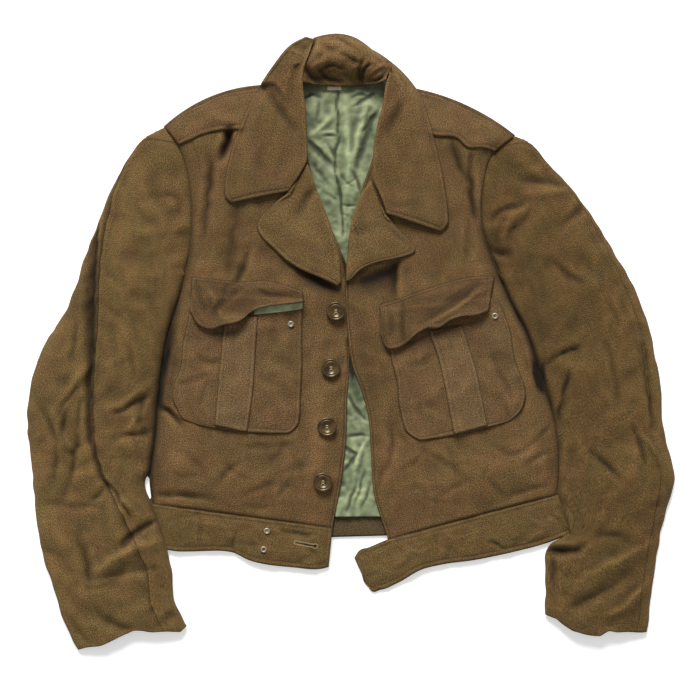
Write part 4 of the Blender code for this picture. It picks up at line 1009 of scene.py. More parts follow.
band_right = band_piece("right", WAISTBAND_RIGHT, 3.3)
band_left = band_piece("left", WAISTBAND_LEFT, 8.8)

band_back = cloth_grid(WAISTBAND_BACK, 121, BACK_BAND_PITCH)
piece = piece_of("cloth_waistband_back", band_back, BACK_BAND, from_edges(band_back, "top bottom"))
sewn_on(piece, "waistband_back", wool("wool waistband back", (89, 72, 48), (78, 69, 43)))

# ============================================================ lining
# The back lining is a thin sage-green satin. It is hung loose, with a pleat down its middle, and it
# lies in sharp creases. A small blank tag is sewn to its upper edge.

SATIN, TAG = 1.0, 0.6  # thickness of the lining and of the tag
LINING_PITCH, TAG_PITCH = 1.6, 1
LINING_SEAM = 328      # it is sewn in here, below the collar
LOOSE_BELOW, LOOSE_HEIGHT = 18, 2.0  # it hangs loose this far below its seam, and this much higher
LINING_WAVES = ((1.8, 26, 0), (0.9, 12, -4))
LINING_PRESS = 0.85    # its folds are this share of what others' are
EASE_ROUNDS = 6        # rounds of smoothing where a piece bridges the steps below it
ABOVE_ALL, AMONG = 500, 10  # heights above the whole jacket, and among its layers
BACK_LINING = (
    Row(-62, 331, 44, 331, 0, 3.1, 3.1, 3.1),
    Row(-68, 280, 50, 280, 0, 3.1, 4.5, 3.1),
    Row(-60, 200, 36, 200, 0, 3.1, 4.5, 3.1),
    Row(-33, 105, 12, 105, 0, 3.1, 3.6, 3.1),
    Row(-30, 50, 14, 50, 0, 3.1, 3.6, 3.1),
    Row(-24, -60, 40, -60, 0, 3.1, 4.2, 3.1),
    Row(-40, -217, 50, -216, 0, 3.1, 3.6, 3.1),
)
NECK_LABEL = (
    Row(-30, 326.5, -31, 316.0, 0, 0, 0, 0),
    Row(-14, 326.5, -13, 316.4, 0, 0, 0, 0),
)
LINING_FOLDS = (
    # the pleat down the middle
    Fold(-18, 321, -18, 291, -16, 256, -2.6, 3, 2.5),
    Fold(-16, 256, -21, 235, -20, 214, -2.6, 3, 2.5),
    Fold(-20, 214, -14, 185, -11, 134, -2.8, 2.5, 3),
    # left of it
    Fold(-54, 252, -39, 239, -21, 220, -3.5, 4, 10),
    Fold(-52, 258, -39, 270, -26, 282, 2, 6, 6),
    Fold(-30, 250, -24, 241, -20, 231, -2.2, 4, 4),
    Fold(-42, 304, -42, 291, -46, 279, -1.4, 4, 4),
    Fold(-59, 306, -49, 311, -39, 305, -1.8, 4, 4),
    Fold(-51, 226, -41, 214, -29, 199, -1.6, 5, 5),
    Fold(-36, 191, -26, 184, -19, 179, -1.4, 4, 4),
    Fold(-36, 258, -26, 259, -18, 258, -1.4, 3, 3),
    # right of it
    Fold(-8, 291, -5, 241, -6, 191, 1.6, 7, 7),
    Fold(19, 294, 10, 261, 0, 222, 2.5, 3.5, 9),
    Fold(26, 281, 16, 251, 6, 219, -2.2, 6, 5),
    Fold(34, 294, 26, 279, 11, 264, -1.8, 4, 4),
    Fold(-1, 306, 11, 311, 24, 305, -2, 4, 4),
    Fold(1, 296, 14, 304, 31, 314, -2, 4, 4),
    Fold(-12, 210, -6, 202, 2, 196, -1.4, 2.5, 3),
    Fold(-9, 198, -2, 202, 6, 208, -1.0, 2.5, 3),
    Fold(2, 215, 8, 201, 12, 188, -2.2, 4, 3),
    Fold(-14, 174, -4, 172, 6, 172, -1.4, 2.5, 2.5),
    Fold(-10, 161, -6, 159, -1, 160, -1.1, 2.5, 2.5),
    # in the gap between the fronts
    Fold(-4, -64, 6, -84, 19, -98, -2.6, 4, 4),
    Fold(-5, -116, 6, -115, 19, -116, -2, 4, 4),
    Fold(-8, -130, -1, -134, 6, -138, -3, 3, 6),
    Fold(6, -138, -1, -149, -9, -159, -2.4, 4, 4),
    Fold(19, -121, 9, -140, 1, -171, 2, 5, 5),
    Fold(8, -169, 1, -190, -6, -209, -2, 4, 4),
    Fold(16, -159, 9, -184, 1, -206, -1.8, 4, 4),
    Fold(24, -171, 19, -190, 11, -206, -1.6, 4, 4),
)
LINING_SHADES = (
    # painted shade under the collar, and between the folds left of the pleat; painted light where
    # the depth is above 0
    Fold(-60, 324, -48, 318, -38, 312, -0.5, 12, 16),
    Fold(-4, 322, 18, 318, 40, 316, -0.45, 12, 14),
    Fold(-54, 240, -42, 228, -26, 212, -0.32, 4, 18),
    Fold(30, 280, 22, 258, 10, 228, -0.22, 12, 8),
    Fold(-2, 300, -3, 240, -6, 180, 0.18, 11, 11),
    # painted shade where the fronts nearly meet, and painted light and shade below
    Fold(-2, 60, -1, 4, -1, -48, -1.5, 14, 14),
    Fold(2, -30, 6, -60, 12, -100, -0.4, 18, 18),
    Fold(-4, -136, -2, -146, 2, -156, -0.5, 7, 7),
    Fold(14, -126, 12, -170, 4, -218, 0.3, 16, 16),
    Fold(-13, 200, -11, 165, -9, 124, -0.14, 16, 16),
)


def satin(name, light, dark):
    """Thin shiny lining with a fine weave, with painted light on its ridges, painted shade in its
    creases, and the painted light and shade that each piece carries.
    """
    made, nodes, links, shader = new_material(name, {
        "Roughness": 0.5, "Specular IOR Level": 0.3, "Sheen Weight": 0.15})
    weave = node_with(nodes, "UVMap", uv_map="weave")
    clouds = node_with(nodes, "TexNoise", {"Scale": 38, "Detail": 4, "Roughness": 0.65})
    spread = node_with(nodes, "MapRange", {"From Min": 0.35, "From Max": 0.65})
    mixed = node_with(nodes, "Mix", {"A": linear(*dark), "B": linear(*light)}, data_type="RGBA")
    area = node_with(nodes, "Attribute", attribute_name="painted_light")
    crease = node_with(nodes, "Attribute", attribute_name="hollow")
    depth = node_with(nodes, "MapRange", {"From Min": -1.1, "From Max": 0.9,
                                          "To Min": 0.42, "To Max": 1.45})
    shade = node_with(nodes, "Math", operation="MULTIPLY")
    shaded = node_with(nodes, "VectorMath", operation="SCALE")
    threads = node_with(nodes, "TexNoise", {"Scale": 900})
    bump = node_with(nodes, "Bump", {"Distance": 0.0002, "Strength": 0.4})
    for start, end in ((weave.outputs["UV"], clouds.inputs["Vector"]),
                       (clouds.outputs["Fac"], spread.inputs["Value"]),
                       (spread.outputs["Result"], mixed.inputs["Factor"]),
                       (mixed.outputs["Result"], shaded.inputs["Vector"]),
                       (crease.outputs["Fac"], depth.inputs["Value"]),
                       (area.outputs["Fac"], shade.inputs[0]),
                       (depth.outputs["Result"], shade.inputs[1]),
                       (shade.outputs["Value"], shaded.inputs["Scale"]),
                       (shaded.outputs["Vector"], shader.inputs["Base Color"]),
                       (weave.outputs["UV"], threads.inputs["Vector"]),
                       (threads.outputs["Fac"], bump.inputs["Height"]),
                       (bump.outputs["Normal"], shader.inputs["Normal"])):
        links.new(start, end)
    return made


def tree_of(grid):
    """A search tree over a piece's points, to lay other pieces on it."""
    rows, columns = grid.shape[:2]
    index = np.arange(rows * columns).reshape(rows, columns)
    faces = np.stack((index[:-1, :-1], index[:-1, 1:], index[1:, 1:], index[1:, :-1]), axis=-1)
    return BVHTree.FromPolygons([tuple(p) for p in grid.reshape(-1, 3)],
                                faces.reshape(-1, 4).tolist())


def hit_below(tree, x, y):
    """Where a plumb line through a place first meets a piece, or None beside it."""
    return tree.ray_cast(Vector((x, y, ABOVE_ALL)), Vector((0, 0, -1)))[0]


def heights_on(trees, grid):
    """The highest cloth below each point of a piece, or the nearest where there is none."""
    found = np.zeros(grid.shape[:2])
    for place in np.ndindex(*found.shape):
        x, y, _ = grid[place]
        tops = [hit.z for hit in (hit_below(tree, x, y) for tree in trees) if hit is not None]
        if not tops:
            tops = [tree.find_nearest(Vector((x, y, AMONG)))[0].z for tree in trees]
        found[place] = max(tops)
    return found


lining = cloth_grid(BACK_LINING, 81, LINING_PITCH)
loose = np.clip((LINING_SEAM - lining[..., 1]) / LOOSE_BELOW, 0, 1)
lining[..., 2] += LOOSE_HEIGHT * loose
folded(lining, LINING_FOLDS, LINING_PRESS * loose)
rumpled(lining, LINING_WAVES, 5.5, loose)
# it lies under the fronts
for front in (front_right, front_left):
    tree = tree_of(front)
    for place in np.ndindex(*lining.shape[:2]):
        x, y, z = lining[place]
        hit = hit_below(tree, x, y)
        if hit is not None:
            lining[place][2] = min(z, hit.z - WOOL - REST)
lining[..., 2] = np.maximum(lining[..., 2], WOOL + REST + SATIN)
# painted light and shade from the lining's table, and painted shade in the troughs of its folds
painted_light = np.clip(1 + along_folds(lining, LINING_SHADES), DARKEST, None)
painted_light *= 1 + 0.1 * along_folds(lining, LINING_FOLDS)  # darker in the troughs of its folds
piece = piece_of("cloth_back_lining", lining, SATIN, None, painted_light)
sewn_on(piece, "back_lining", satin("sage lining", (137, 145, 107), (106, 117, 86)))


def eased(heights, floor, rounds):
    """Let cloth bridge the small steps below it."""
    for _ in range(rounds):
        padded = np.pad(heights, 1, mode="edge")
        mean = 0.25 * (padded[:-2, 1:-1] + padded[2:, 1:-1] + padded[1:-1, :-2] + padded[1:-1, 2:])
        heights = np.maximum(mean, floor)
    return heights


def laid_on(grid, thickness, ground):
    """Lay a piece, whose heights are above the cloth below, on that cloth."""
    floor = heights_on([tree_of(g) for g in ground], grid)
    grid[..., 2] += eased(floor, floor, EASE_ROUNDS) + thickness + REST


tag = cloth_grid(NECK_LABEL, 9, TAG_PITCH)
laid_on(tag, TAG, [lining])
piece = piece_of("cloth_neck_label", tag, TAG)
sewn_on(piece, "neck_label", satin("woven tag", (244, 232, 204), (226, 214, 186)))

# ============================================================ shoulder straps
# A strap of doubled wool lies along each shoulder. Its outer end is sewn into the armhole, and its
# inner end goes under the collar.

SHOULDER_STRAP_RIGHT = (
    Row(-232, 269, -215, 247, 0, 0, 1, 0.5),
    Row(-214, 286, -203, 252, 0, 0, 2, 1),
    Row(-189, 298, -189, 259, 0, 0, 2.5, 1),
    Row(-161, 311, -164, 265, 0, 0, 2.5, 1),
    Row(-130, 317, -139, 266, 0, 0, 2, 0.5),
    Row(-103, 320, -112, 268, 0, 0, 0, 0),
)
SHOULDER_STRAP_LEFT = (
    Row(202, 258, 177, 239, 0, 0, 1, 0.5),
    Row(184, 270, 162, 243, 0, 0, 2, 1),
    Row(164, 282, 146, 243, 0, 0, 2.5, 1),
    Row(128, 300, 128, 256, 0, 0, 2.5, 1),
    Row(99, 311, 104, 258, 0, 0, 2, 0.5),
    Row(76, 316, 84, 264, 0, 0, 0, 0),
)
LYING_PITCH = 2.2
LYING_WAVES = ((2, 34, 0), (0.6, 15, 3))  # at full strength
# painted shade in the creases of the lying, turned and collar pieces
CREASE_TONE = 0.09     # how much darker a crease is for each millimetre of its depth
SINK = 0.9             # a trough goes at most this far below where the piece would lie
STRAP_WOOL = ((110, 80, 51), (93, 75, 43))


def sewn_on_front(piece, name, colours):
    """Finish a wool piece that is sewn on the front of its own side."""
    material = wool(f"wool {name}".replace("_", " "), *colours)
    sewn_on(piece, name, material)


def lying_piece(name, table, ground, edges, colours, seed, waves=0.5, folds=(), shades=()):
    """A piece of wool that is laid on others and stitched near its edges."""
    grid = cloth_grid(table, 61, LYING_PITCH, edges)
    laid_on(grid, WOOL, ground)
    floor = grid[..., 2].copy()
    folded(grid, folds)
    rumpled(grid, LYING_WAVES, seed, waves)
    pressed_edge(grid, edges)
    grid[..., 2] = np.maximum(grid[..., 2], floor - SINK)
    # painted shade in its creases, and painted light and shade from its table
    painted_light = 1 + CREASE_TONE * along_folds(grid, folds) + along_folds(grid, shades)
    painted_light = np.clip(painted_light, DARKEST, None)
    piece = piece_of(f"cloth_{name}", grid, WOOL, from_edges(grid, edges), painted_light)
    sewn_on_front(piece, name, colours)
    return grid


strap_right = lying_piece("shoulder_strap_right", SHOULDER_STRAP_RIGHT, [front_right],
                          "first last", STRAP_WOOL, 2.2)
strap_left = lying_piece("shoulder_strap_left", SHOULDER_STRAP_LEFT, [front_left],
                         "first last", STRAP_WOOL, 6.2)

# ============================================================ chest pockets
# A patch pocket with round lower corners is stitched on each front. A box pleat runs down its
# middle. A scalloped flap is sewn above it and curls up; the right one shows its green lining.

POCKET_RIGHT = (
    Row(-190, -101, -78, -112, -4, 0, 0.5, 0),
    Row(-208, -95, -69, -104, -3, 0.5, 1, 0.5),
    Row(-217, -83, -65, -91, 0, 1, 1.5, 1),
    Row(-224, -66, -64, -70, 0, 2, 1.5, 1),
    Row(-221, -49, -63, -50, 0, 2, 1.5, 1),
    Row(-214, -30, -62, -28, 0, 1, 1, 1),
    Row(-211, 0, -62, 0, 0, 0.5, 1, 0.5),
    Row(-204, 33, -62, 28, 0, 0.5, 1, 0.5),
    Row(-199, 62, -61, 54, 0, 0, 0.5, 0),
)
POCKET_LEFT = (
    Row(84, -121, 196, -97, -3, 0, 0.5, 0),
    Row(70, -112, 209, -86, -2, 0.5, 1, 0.5),
    Row(63, -96, 216, -68, 0, 1, 1.5, 1),
    Row(58, -74, 215, -52, 0, 1, 1.5, 1.5),
    Row(56, -50, 207, -32, 0, 1, 1.5, 1.5),
    Row(50, -25, 201, -9, 0, 1, 1, 1),
    Row(45, 0, 197, 18, 0, 0.5, 1, 0.5),
    Row(40, 25, 189, 40, 0, 0.5, 1, 0.5),
    Row(38, 42, 182, 56, 0, 0, 0.5, 0),
)
POCKET_PLEAT_RIGHT = (
    Row(-171, -102, -130, -110, 0, 0, 0.6, 0),
    Row(-167, -52, -123, -60, 0, 0, 1, 0),
    Row(-163, -10, -120, -15, 0, 0, 1, 0),
    Row(-159, 34, -117, 33, 0, 0, 0.6, 0),
)
POCKET_PLEAT_LEFT = (
    Row(127, -113, 169, -102, 0, 0, 0.6, 0),
    Row(119, -74, 162, -66, 0, 0, 1, 0),
    Row(112, -38, 155, -34, 0, 0, 1, 0),
    Row(105, -12, 147, -6, 0, 0, 1, 0),
    Row(95, 15, 137, 22, 0, 0, 0.6, 0),
)
# side to front edge; the first edge is the sewn one, the last is the loose, curling one
POCKET_FLAP_RIGHT = (
    Row(-200, 83, -202, 42, 0, 0, 2, 3),
    Row(-190, 82, -192, 24, 0, 0, 2, 4),
    Row(-176, 81, -176, 17, 0, 0, 2, 4),
    Row(-161, 79, -160, 23, 0, 0, 2, 9),
    Row(-143, 77, -142, 26, 0, 0, 2, 9),
    Row(-122, 78, -122, 40, 0, 0, 3, 6),
    Row(-103, 78, -103, 46, 0, 0, 3, 7),
    Row(-80, 72, -80, 49, 0, 0, 3, 8),
    Row(-61, 65, -60, 52, 0, 0, 2, 6),
)
POCKET_FLAP_LEFT = (
    Row(34, 48, 35, 14, 0, 0, 2, 3),
    Row(41, 51, 42, -5, 0, 0, 2, 4),
    Row(52, 54, 54, -7, 0, 0, 2, 4),
    Row(64, 58, 68, 0, 0, 0, 2, 5),
    Row(77, 63, 80, 11, 0, 0, 2, 7),
    Row(92, 68, 94, 19, 0, 0, 3, 8),
    Row(108, 73, 108, 19, 0, 0, 3, 9),
    Row(121, 77, 122, 28, 0, 0, 3, 10),
    Row(136, 81, 137, 33, 0, 0, 3, 10),
    Row(156, 84, 155, 35, 0, 0, 2, 8),
    Row(178, 84, 170, 40, 0, 0, 2, 4),
)
FLAP_LINING_RIGHT = (
    Row(-122, 44, -122, 36, 0, 0, 0.5, 1),
    Row(-100, 49, -100, 38, 0, 0, 1, 1),
    Row(-80, 52, -80, 40, 0, 0, 1, 1),
    Row(-61, 55, -61, 43, 0, 0, 0.5, 0.5),
)
POCKET_FOLDS = (
    Fold(-214, -50, -196, -45, -179, -39, -1.8, 6, 6),
    Fold(-189, -19, -176, -24, -164, -21, -1.4, 7, 7),
    Fold(-181, -46, -185, -61, -189, -74, -1, 6, 6),
    Fold(175, -18, 188, -44, 198, -68, -2, 5, 5),
    Fold(190, -76, 192, -84, 196, -94, -1.4, 4, 4),
    Fold(111, -11, 124, -6, 139, -2, -1.4, 7, 7),
    Fold(74, -28, 92, -21, 101, -11, -1.4, 7, 7),
)
FLAP_FOLDS = (
    Fold(-156, 71, -162, 54, -171, 38, -5, 6, 5),
    Fold(-135, 74, -149, 61, -164, 48, -3.5, 6, 4),
    Fold(-194, 76, -189, 59, -184, 41, -2, 5, 5),
    Fold(-116, 66, -101, 59, -81, 56, -1.5, 5, 5),
    Fold(-179, 69, -171, 54, -161, 31, 2, 5, 5),
    Fold(64, 51, 64, 29, 65, 1, -3, 4, 5),
    Fold(86, 24, 114, 45, 159, 76, -4.5, 7, 5),
    Fold(44, 41, 49, 26, 46, 6, -1.5, 5, 5),
    Fold(111, 38, 131, 52, 159, 74, -2, 4, 4),
    Fold(99, 25, 130, 44, 166, 68, 2, 5, 6),
)
# painted shade below the raised edge of each flap, and painted light at a lower corner of the right
# pocket
POCKET_SHADES = (
    Fold(-180, 17, -155, 12, -128, 22, -0.6, 5, 11),
    Fold(-206, 26, -196, 10, -186, 6, -0.25, 8, 8),
    Fold(64, -2, 110, 14, 168, 30, -0.6, 5, 17),
    Fold(-96, -30, -84, -44, -78, -60, 0.1, 16, 16),
)
# the flaps' colours are darker and the pleats' paler, partly as the wool's own colour and partly as
# painted shade and light
POCKET_WOOL = ((111, 82, 53), (95, 77, 46))
PLEAT_WOOL = ((118, 89, 60), (102, 84, 53))
FLAP_WOOL = ((98, 71, 44), (83, 66, 38))
FLAP_LINING_PITCH = 1.5
FLAP_LINING_WAVES = ((0.6, 12, 0),)

pocket_right = lying_piece("pocket_right", POCKET_RIGHT, [front_right], "first last bottom",
                           POCKET_WOOL, 3.9, 0.7, POCKET_FOLDS, POCKET_SHADES)
pocket_left = lying_piece("pocket_left", POCKET_LEFT, [front_left], "first last bottom",
                          POCKET_WOOL, 7.9, 0.7, POCKET_FOLDS, POCKET_SHADES)
pleat_right = lying_piece("pocket_pleat_right", POCKET_PLEAT_RIGHT, [pocket_right], "first last",
                          PLEAT_WOOL, 1.1, 0.4, (), POCKET_SHADES)
pleat_left = lying_piece("pocket_pleat_left", POCKET_PLEAT_LEFT, [pocket_left], "first last",
                         PLEAT_WOOL, 5.1, 0.4, (), POCKET_SHADES)

flap_lining = cloth_grid(FLAP_LINING_RIGHT, 21, FLAP_LINING_PITCH)
laid_on(flap_lining, SATIN, [front_right, pocket_right, pleat_right])
rumpled(flap_lining, FLAP_LINING_WAVES, 3.1)
piece = piece_of("cloth_flap_lining_right", flap_lining, SATIN)
# the flap lining's satin is given paler colours than the back lining's: painted light against the
# shade under the flap
sewn_on(piece, "flap_lining_right", satin("sage flap lining", (172, 180, 138), (136, 146, 110)))

flap_right = lying_piece("pocket_flap_right", POCKET_FLAP_RIGHT,
                         [front_right, pocket_right, pleat_right, flap_lining],
                         "first last bottom top", FLAP_WOOL, 2.6, 0.5, FLAP_FOLDS)
flap_left = lying_piece("pocket_flap_left", POCKET_FLAP_LEFT,
                        [front_left, pocket_left, pleat_left], "first last bottom top",
                        FLAP_WOOL, 9.2, 0.5, FLAP_FOLDS)

# ============================================================ lapels
# Each lapel is the upper part of a front, turned back along a soft roll and faced with wool. Its
# edge is stitched all round, and the collar is sewn to it along the gorge seam.

LAPEL_RIGHT = (
    Row(-20, 72, -13, 75, 0, 14, 14, 13),
    Row(-38, 81, -14, 88, 0, 16, 16, 14),
    Row(-60, 90, -15, 103, 0, 18, 18, 15),
    Row(-79, 101, -18, 119, 0, 20, 20, 15),
    Row(-99, 119, -23, 136, 0, 21, 21, 16),
    Row(-115, 136, -30, 157, 0, 21, 22, 17),
    Row(-118, 147, -36, 172, 0, 21, 22, 18),
    Row(-110, 161, -42, 187, 0, 21, 22, 20),
    Row(-96, 173, -48, 205, 0, 21, 22, 22),
    Row(-77, 185, -55, 223, 0, 22, 23, 24),
)
LAPEL_LEFT = (
    Row(0, 81, -7, 77, 0, 14, 14, 13),
    Row(14, 93, -7, 90, 0, 16, 16, 14),
    Row(34, 101, -6, 104, 0, 18, 18, 15),
    Row(62, 107, -4, 121, 0, 20, 20, 15),
    Row(79, 114, -3, 137, 0, 20, 21, 16),
    Row(72, 127, 0, 154, 0, 21, 22, 17),
    Row(62, 137, 5, 171, 0, 21, 22, 18),
    Row(51, 148, 12, 187, 0, 21, 22, 20),
    Row(41, 157, 23, 202, 0, 22, 23, 24),
)
LAPEL_FOLDS = (
    Fold(-44, 196, -60, 175, -69, 156, -3, 7, 6),
    Fold(-111, 146, -104, 139, -94, 131, -1.4, 5, 5),
    Fold(-1, 136, 21, 144, 49, 151, -1.6, 6, 6),
    Fold(66, 124, 56, 134, 46, 144, -1.4, 5, 5),
)
# painted shade over the lapels
LAPEL_SHADES = (
    Fold(20, 166, 40, 134, 60, 108, -0.08, 28, 24),
)
LAPEL_WOOL = ((115, 88, 53), (99, 82, 47))
TURNED_WAVES = ((1.76, 44, 0), (0.48, 17, 3))
ROLL = 3.2             # radius of the roll along a lapel or a collar
ROLL_TURNS = (18, 36, 54, 72, 90)  # degrees round the roll where its rows of points are
STAND_ROWS = 5         # rows of points from the roll down to the neck seam
TURNED_EASE = 3        # rounds of smoothing where it comes to rest on the cloth below


def rolled(grid):
    """Turn the last edge of a piece down over a soft roll and back under."""
    run = run_along(grid, 1)
    over = np.clip(ROLL - (run[1] - run[0]), 0, ROLL)
    grid[..., 2] -= ROLL - np.sqrt(ROLL ** 2 - over ** 2)
    # the edge faces away from the points a few steps in from it
    outward = grid[:, -1] - grid[:, -4]
    outward[:, 2] = 0
    outward /= np.linalg.norm(outward, axis=1, keepdims=True)
    ends = []
    for angle in np.radians(ROLL_TURNS):
        row = grid[:, -1] - outward * ROLL * (1 - math.cos(angle))
        row[:, 2] -= ROLL * math.sin(angle)
        ends.append(row)
    return np.concatenate((grid, np.stack(ends, axis=1)), axis=1)


def stood(grid, ground):
    """Carry a rolled edge on down to the neck seam, as the collar's stand does."""
    edge = grid[:, -1]
    foot = np.full(len(edge), REST)
    for tree in [tree_of(g) for g in ground]:
        for k, (x, y, _) in enumerate(edge):
            hit = hit_below(tree, x, y)
            if hit is not None:
                foot[k] = max(foot[k], hit.z)
    drop = np.minimum(foot + WOOL, edge[:, 2] - 1) - edge[:, 2]
    rows = []
    for share in np.linspace(0, 1, STAND_ROWS + 1)[1:]:
        row = edge.copy()
        row[:, 2] += drop * share
        rows.append(row)
    return np.concatenate((grid, np.stack(rows, axis=1)), axis=1)


def turned_piece(name, table, ground, edges, folds, colours, seed, foot=()):
    """A lapel or a leaf of the collar: it stands on its roll and rests on the cloth below."""
    grid = cloth_grid(table, 81, LYING_PITCH, "last " + edges)
    folded(grid, folds)
    rumpled(grid, TURNED_WAVES, seed)
    floor = heights_on([tree_of(g) for g in ground], grid) + WOOL + REST
    grid[..., 2] = eased(np.maximum(grid[..., 2], floor), floor, TURNED_EASE)
    pressed_edge(grid, edges)
    whole = rolled(grid.copy())
    if foot:
        whole = stood(whole, foot)
    far = np.full(whole.shape[:2], NO_EDGE)
    far[:, :grid.shape[1]] = from_edges(grid, edges)
    # painted shade in its creases and over the lapels
    painted_light = 1 + CREASE_TONE * along_folds(whole, folds) + along_folds(whole, LAPEL_SHADES)
    piece = piece_of(f"cloth_{name}", whole, WOOL, far, np.clip(painted_light, DARKEST, None))
    sewn_on_front(piece, name, colours)
    return grid


lapel_right = turned_piece("lapel_right", LAPEL_RIGHT, [front_right], "first", LAPEL_FOLDS,
                           LAPEL_WOOL, 4.4)
lapel_left = turned_piece("lapel_left", LAPEL_LEFT, [front_left], "first", LAPEL_FOLDS,
                          LAPEL_WOOL, 1.4)

# ============================================================ collar
# The collar is two layers of wool on a stand. Its leaves lie open on the fronts. Behind the neck it
# stands up in a thick soft roll of cloth, and the fall shows below it.

# lower edge up to the top of the roll; the first edge is the free one, the last is the roll
COLLAR_LEAF_RIGHT = (
    Row(-150, 174, -79, 189, 0, 20, 24, 25),
    Row(-157, 181, -73, 197, 0, 21, 26, 26),
    Row(-159, 192, -65, 209, 0, 21, 26, 27),
    Row(-158, 206, -56, 226, 0, 21, 26, 27),
    Row(-154, 226, -55, 245, 0, 21, 26, 28),
    Row(-148, 247, -56, 266, 0, 21, 26, 29),
    Row(-137, 277, -57, 290, 0, 19, 26, 30),
    Row(-126, 302, -60, 312, 0, 16, 25, 31),
    Row(-114, 321, -61, 328, 0, 12, 24, 31),
    Row(-98, 345, -59, 343, 0, 8, 20, 30),
    Row(-78, 370, -54, 357, 0, 6, 16, 29),
    Row(-58, 382, -47, 379, 0, 6, 10, 16),
)
COLLAR_LEAF_LEFT = (
    Row(111, 138, 43, 161, 0, 20, 24, 25),
    Row(119, 147, 40, 171, 0, 21, 26, 26),
    Row(120, 161, 34, 186, 0, 21, 26, 27),
    Row(118, 181, 26, 205, 0, 21, 26, 27),
    Row(114, 205, 26, 225, 0, 21, 26, 28),
    Row(109, 231, 27, 246, 0, 21, 26, 29),
    Row(99, 269, 32, 273, 0, 19, 26, 30),
    Row(87, 306, 39, 301, 0, 14, 25, 31),
    Row(76, 324, 42, 321, 0, 10, 21, 30),
    Row(60, 342, 47, 338, 0, 8, 15, 24),
    Row(40, 358, 42, 349, 0, 7, 9, 14),
    Row(14, 373, 22, 364, 0, 7, 8, 10),
)
# neck seam up over the roll of cloth to its far edge
COLLAR_STAND = (
    Row(-61, 325, 43, 327, -6, 26, 11, 24),
    Row(-61, 334, 43, 333, 0, 28, 17, 25),
    Row(-60, 346, 50, 341, 0, 28, 27, 22),
    Row(-55, 358, 46, 350, 5, 27, 30, 22),
    Row(-50, 370, 35, 359, 9, 21, 27, 16),
    Row(-47, 380, 26, 366, 12, 14, 16, 10),
)
COLLAR_FALL = (
    Row(-62, 324, 44, 324, 0, 1.6, 1.6, 1.6),
    Row(-66, 350, 46, 341, 3, 1.6, 1.6, 1.6),
    Row(-60, 365, 34, 352, 9, 1.6, 1.6, 1.6),
    Row(-54, 373, 24, 358, 12, 6, 7, 5),
    Row(-47, 380, 19, 362, 12, 12, 14, 10),
)
LEAF_FOLDS = (
    Fold(-104, 314, -86, 286, -69, 265, -3, 8, 8),
    Fold(-111, 244, -115, 229, -111, 214, -1.5, 8, 8),
    Fold(62, 302, 55, 285, 42, 261, -3, 9, 8),
    Fold(45, 346, 58, 331, 62, 309, 2, 5, 6),
    Fold(68, 241, 61, 222, 51, 204, -1, 9, 9),
    Fold(44, 172, 59, 171, 76, 174, -1.4, 5, 5),
    Fold(-64, 216, -56, 204, -64, 191, -1, 6, 6),
)
STAND_FOLDS = (
    Fold(-48, 379, -50, 366, -60, 351, -5, 6, 5),
    Fold(-59, 349, -54, 336, -41, 329, -4, 8, 8),
    Fold(-41, 341, -29, 330, -11, 325, -3, 5, 5),
    Fold(12, 326, 10, 339, 16, 355, -3, 5, 5),
    Fold(-10, 351, -1, 349, 8, 345, -1.6, 4, 4),
    Fold(-36, 372, -26, 364, -16, 366, -1.5, 7, 7),
    Fold(19, 331, 31, 342, 41, 346, 2, 5, 5),
    Fold(14, 329, 16, 340, 24, 348, -4, 3, 4),
    Fold(21, 325, 34, 329, 42, 338, -3, 4, 3),
    Fold(-14, 360, 1, 352, 15, 348, -2.4, 4, 4),
    Fold(-41, 338, -26, 345, -8, 340, -2.4, 4, 4),
    Fold(-26, 379, -8, 374, 6, 364, -1.6, 5, 5),
)
# painted shade between the folds of the roll behind the neck, and painted light along its crest
ROLL_SHADES = (
    Fold(-54, 364, -50, 346, -40, 330, -0.12, 14, 20),
    Fold(-38, 330, -14, 322, 14, 325, -0.1, 12, 12),
    Fold(6, 346, 20, 342, 34, 332, -0.25, 10, 10),
    Fold(-34, 362, -8, 352, 24, 342, 0.24, 16, 16),
)
COLLAR_WOOL = ((110, 81, 50), (93, 76, 43))
FALL_PITCH, STAND_PITCH = 3.0, 2.0
STAND_WAVES = ((3.0, 26, 0), (1.0, 12, 3))


def stand_piece(name, table, folds, waves, pitch, seed):
    """A piece of the collar behind the neck."""
    grid = cloth_grid(table, 61, pitch)
    folded(grid, folds)
    rumpled(grid, waves, seed)
    # painted shade in its creases, and painted light and shade of the roll
    painted_light = 1 + CREASE_TONE * along_folds(grid, folds) + along_folds(grid, ROLL_SHADES)
    piece = piece_of(f"cloth_{name}", grid, WOOL, None, np.clip(painted_light, DARKEST, None))
    sewn_on(piece, name, wool(f"wool {name}".replace("_", " "), *COLLAR_WOOL))
    return grid


collar_fall = stand_piece("collar_fall", COLLAR_FALL, (), (), FALL_PITCH, 0)
collar_stand = stand_piece("collar_stand", COLLAR_STAND, STAND_FOLDS, STAND_WAVES,
                           STAND_PITCH, 6.6)
leaf_right = turned_piece("collar_leaf_right", COLLAR_LEAF_RIGHT,
                          [front_right, strap_right, collar_stand], "first bottom", LEAF_FOLDS,
                          COLLAR_WOOL, 9.9, [front_right, lining, collar_fall])
leaf_left = turned_piece("collar_leaf_left", COLLAR_LEAF_LEFT, [front_left, strap_left],
                         "first bottom", LEAF_FOLDS, COLLAR_WOOL, 0.7,
                         [front_left, lining, collar_fall])

# ============================================================ buttons
# Four glossy brown buttons with a rim, a dished middle and four holes, sewn on with thread.

BUTTONS = ("button_1", "button_2", "button_3", "button_4")
